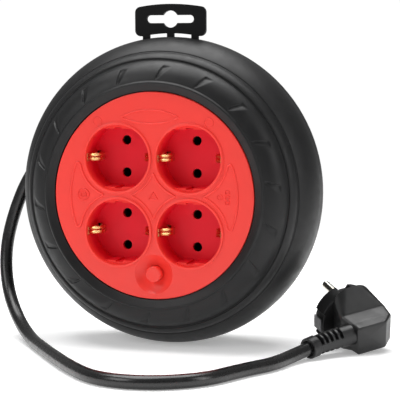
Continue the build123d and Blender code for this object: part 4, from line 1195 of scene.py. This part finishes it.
def soft_box(name, spot, size, power):
    """A soft rectangular light that faces the middle of the reel."""
    data = bpy.data.lights.new(name, "AREA")
    data.shape = "RECTANGLE"
    data.size, data.size_y = size
    data.energy = power * settings().light_power
    light = bpy.data.objects.new(name, data)
    light.location = spot
    light.rotation_mode = "QUATERNION"
    light.rotation_quaternion = (Vector(LIT_SPOT) - Vector(spot)).to_track_quat("-Z", "Y")
    bpy.context.scene.collection.objects.link(light)


def make_lights():
    """Soft boxes over the reel, at its left and at its right, in a bright room."""
    for name, spot, size, power in SOFT_BOXES:
        soft_box(name, spot, size, power)
    world = bpy.data.worlds.new("studio")
    bpy.context.scene.world = world
    world.use_nodes = True
    tree = world.node_tree
    background = tree.nodes["Background"]
    background.inputs["Color"].default_value = (1.0, 1.0, 1.0, 1.0)
    seen = tree.nodes.new("ShaderNodeLightPath")
    strength = spread(tree, seen.outputs["Is Camera Ray"], 0.0, 1.0, ROOM_LIGHT, ROOM_SEEN)
    tree.links.new(strength, background.inputs["Strength"])
    bpy.context.scene.view_settings.view_transform = "Standard"


# ================= operators =================
class CORDREEL_OT_stage(bpy.types.Operator):
    """Makes the camera, the floor and the lights"""

    bl_idname = "cordreel.stage"
    bl_label = "Stage"

    def execute(self, context):
        make_camera()
        make_floor()
        make_lights()
        return {"FINISHED"}


class CORDREEL_OT_cord(bpy.types.Operator):
    """Makes the plug, its sleeve and the free cord"""

    bl_idname = "cordreel.cord"
    bl_label = "Cord and plug"

    def execute(self, context):
        nodes = frame["nodes"]
        plug_disc()
        carried = [plug_housing(), strain_relief()]
        carried += [nodes[name] for name in ("plug_pin_bridge", "plug_pins", "plug_earth_strips")]
        free_cord()
        return {"FINISHED"}


# CAD node, name of its rounded copy, and the bevel's width in millimetres.
SOFTENED = (("hang_tab", "hang_tab_soft", 0.55), ("cable_guide", "cable_guide_soft", 0.4))


class CORDREEL_OT_casing(bpy.types.Operator):
    """Makes the casing's front shell and rounds the edges of its hang tab and bush"""

    bl_idname = "cordreel.casing"
    bl_label = "Casing"

    def execute(self, context):
        casing_front()
        slots = {part["node"]: part["material_slot"] for part in frame["record"]["subparts"]}
        for node, name, width in SOFTENED:
            slot = slots[node]
            bevelled_copy(node, name, finish_for(slot), "casing", width)
        return {"FINISHED"}


class CORDREEL_OT_panel(bpy.types.Operator):
    """Makes the socket panel's rims and raised marks"""

    bl_idname = "cordreel.panel"
    bl_label = "Socket panel"

    def execute(self, context):
        well_rims()
        panel_marks()
        return {"FINISHED"}


class CORDREEL_OT_button(bpy.types.Operator):
    """Makes the reset button"""

    bl_idname = "cordreel.button"
    bl_label = "Reset button"

    def execute(self, context):
        reset_button()
        return {"FINISHED"}


class CORDREEL_OT_contacts(bpy.types.Operator):
    """Makes the earth strips with their clips"""

    bl_idname = "cordreel.contacts"
    bl_label = "Earth contacts"

    def execute(self, context):
        earth_contacts()
        return {"FINISHED"}


class CORDREEL_OT_winding(bpy.types.Operator):
    """Makes the cable wound on the drum"""

    bl_idname = "cordreel.winding"
    bl_label = "Wound cable"

    def execute(self, context):
        winding()
        return {"FINISHED"}


# Nodes whose look differs from their slot's usual finish. The busbars carry painted shade so the pin holes
# read dark, and the cups carry painted shade deeper in the wells.
OWN_FINISH = {"live_busbar": "contact_painted_shade", "neutral_busbar": "contact_painted_shade", "socket_cups": "cup_red_painted_shade",
              "plug_earth_strips": "strip_steel"}


class CORDREEL_OT_finishes(bpy.types.Operator):
    """Gives every CAD node that still shows its finish"""

    bl_idname = "cordreel.finishes"
    bl_label = "Finishes"

    def execute(self, context):
        for part in frame["record"]["subparts"]:
            node = frame["nodes"][part["node"]]
            material = finish_for(OWN_FINISH.get(part["node"], part["material_slot"]))
            for index in range(len(node.material_slots)):
                node.material_slots[index].material = material
            if not node.material_slots:
                node.data.materials.append(material)
        return {"FINISHED"}


class CORDREEL_PT_sidebar(bpy.types.Panel):
    """Lists the reel's settings and its operators"""

    bl_label = "Cord Reel"
    bl_idname = "CORDREEL_PT_sidebar"
    bl_space_type = "VIEW_3D"
    bl_region_type = "UI"
    bl_category = "Cord Reel"

    def draw(self, context):
        layout = self.layout
        for name in CordReelSettings.__annotations__:
            layout.prop(context.scene.cord_reel, name)
        for operator in OPERATORS:
            layout.operator(operator.bl_idname)


OPERATORS = (
    CORDREEL_OT_stage,
    CORDREEL_OT_cord,
    CORDREEL_OT_casing,
    CORDREEL_OT_panel,
    CORDREEL_OT_button,
    CORDREEL_OT_contacts,
    CORDREEL_OT_winding,
    CORDREEL_OT_finishes,
)
CLASSES = (CordReelSettings, *OPERATORS, CORDREEL_PT_sidebar)


def register():
    """Registers the classes and the scene's settings."""
    for kind in CLASSES:
        bpy.utils.register_class(kind)
    bpy.types.Scene.cord_reel = bpy.props.PointerProperty(type=CordReelSettings)


def unregister():
    """Takes the settings and the classes away again."""
    del bpy.types.Scene.cord_reel
    for kind in reversed(CLASSES):
        bpy.utils.unregister_class(kind)


def main():
    """Builds the whole look."""
    register()
    bpy.ops.cordreel.stage()
    bpy.ops.cordreel.cord()
    bpy.ops.cordreel.casing()
    bpy.ops.cordreel.panel()
    bpy.ops.cordreel.button()
    bpy.ops.cordreel.contacts()
    bpy.ops.cordreel.winding()
    bpy.ops.cordreel.finishes()


if __name__ == "__main__":
    main()
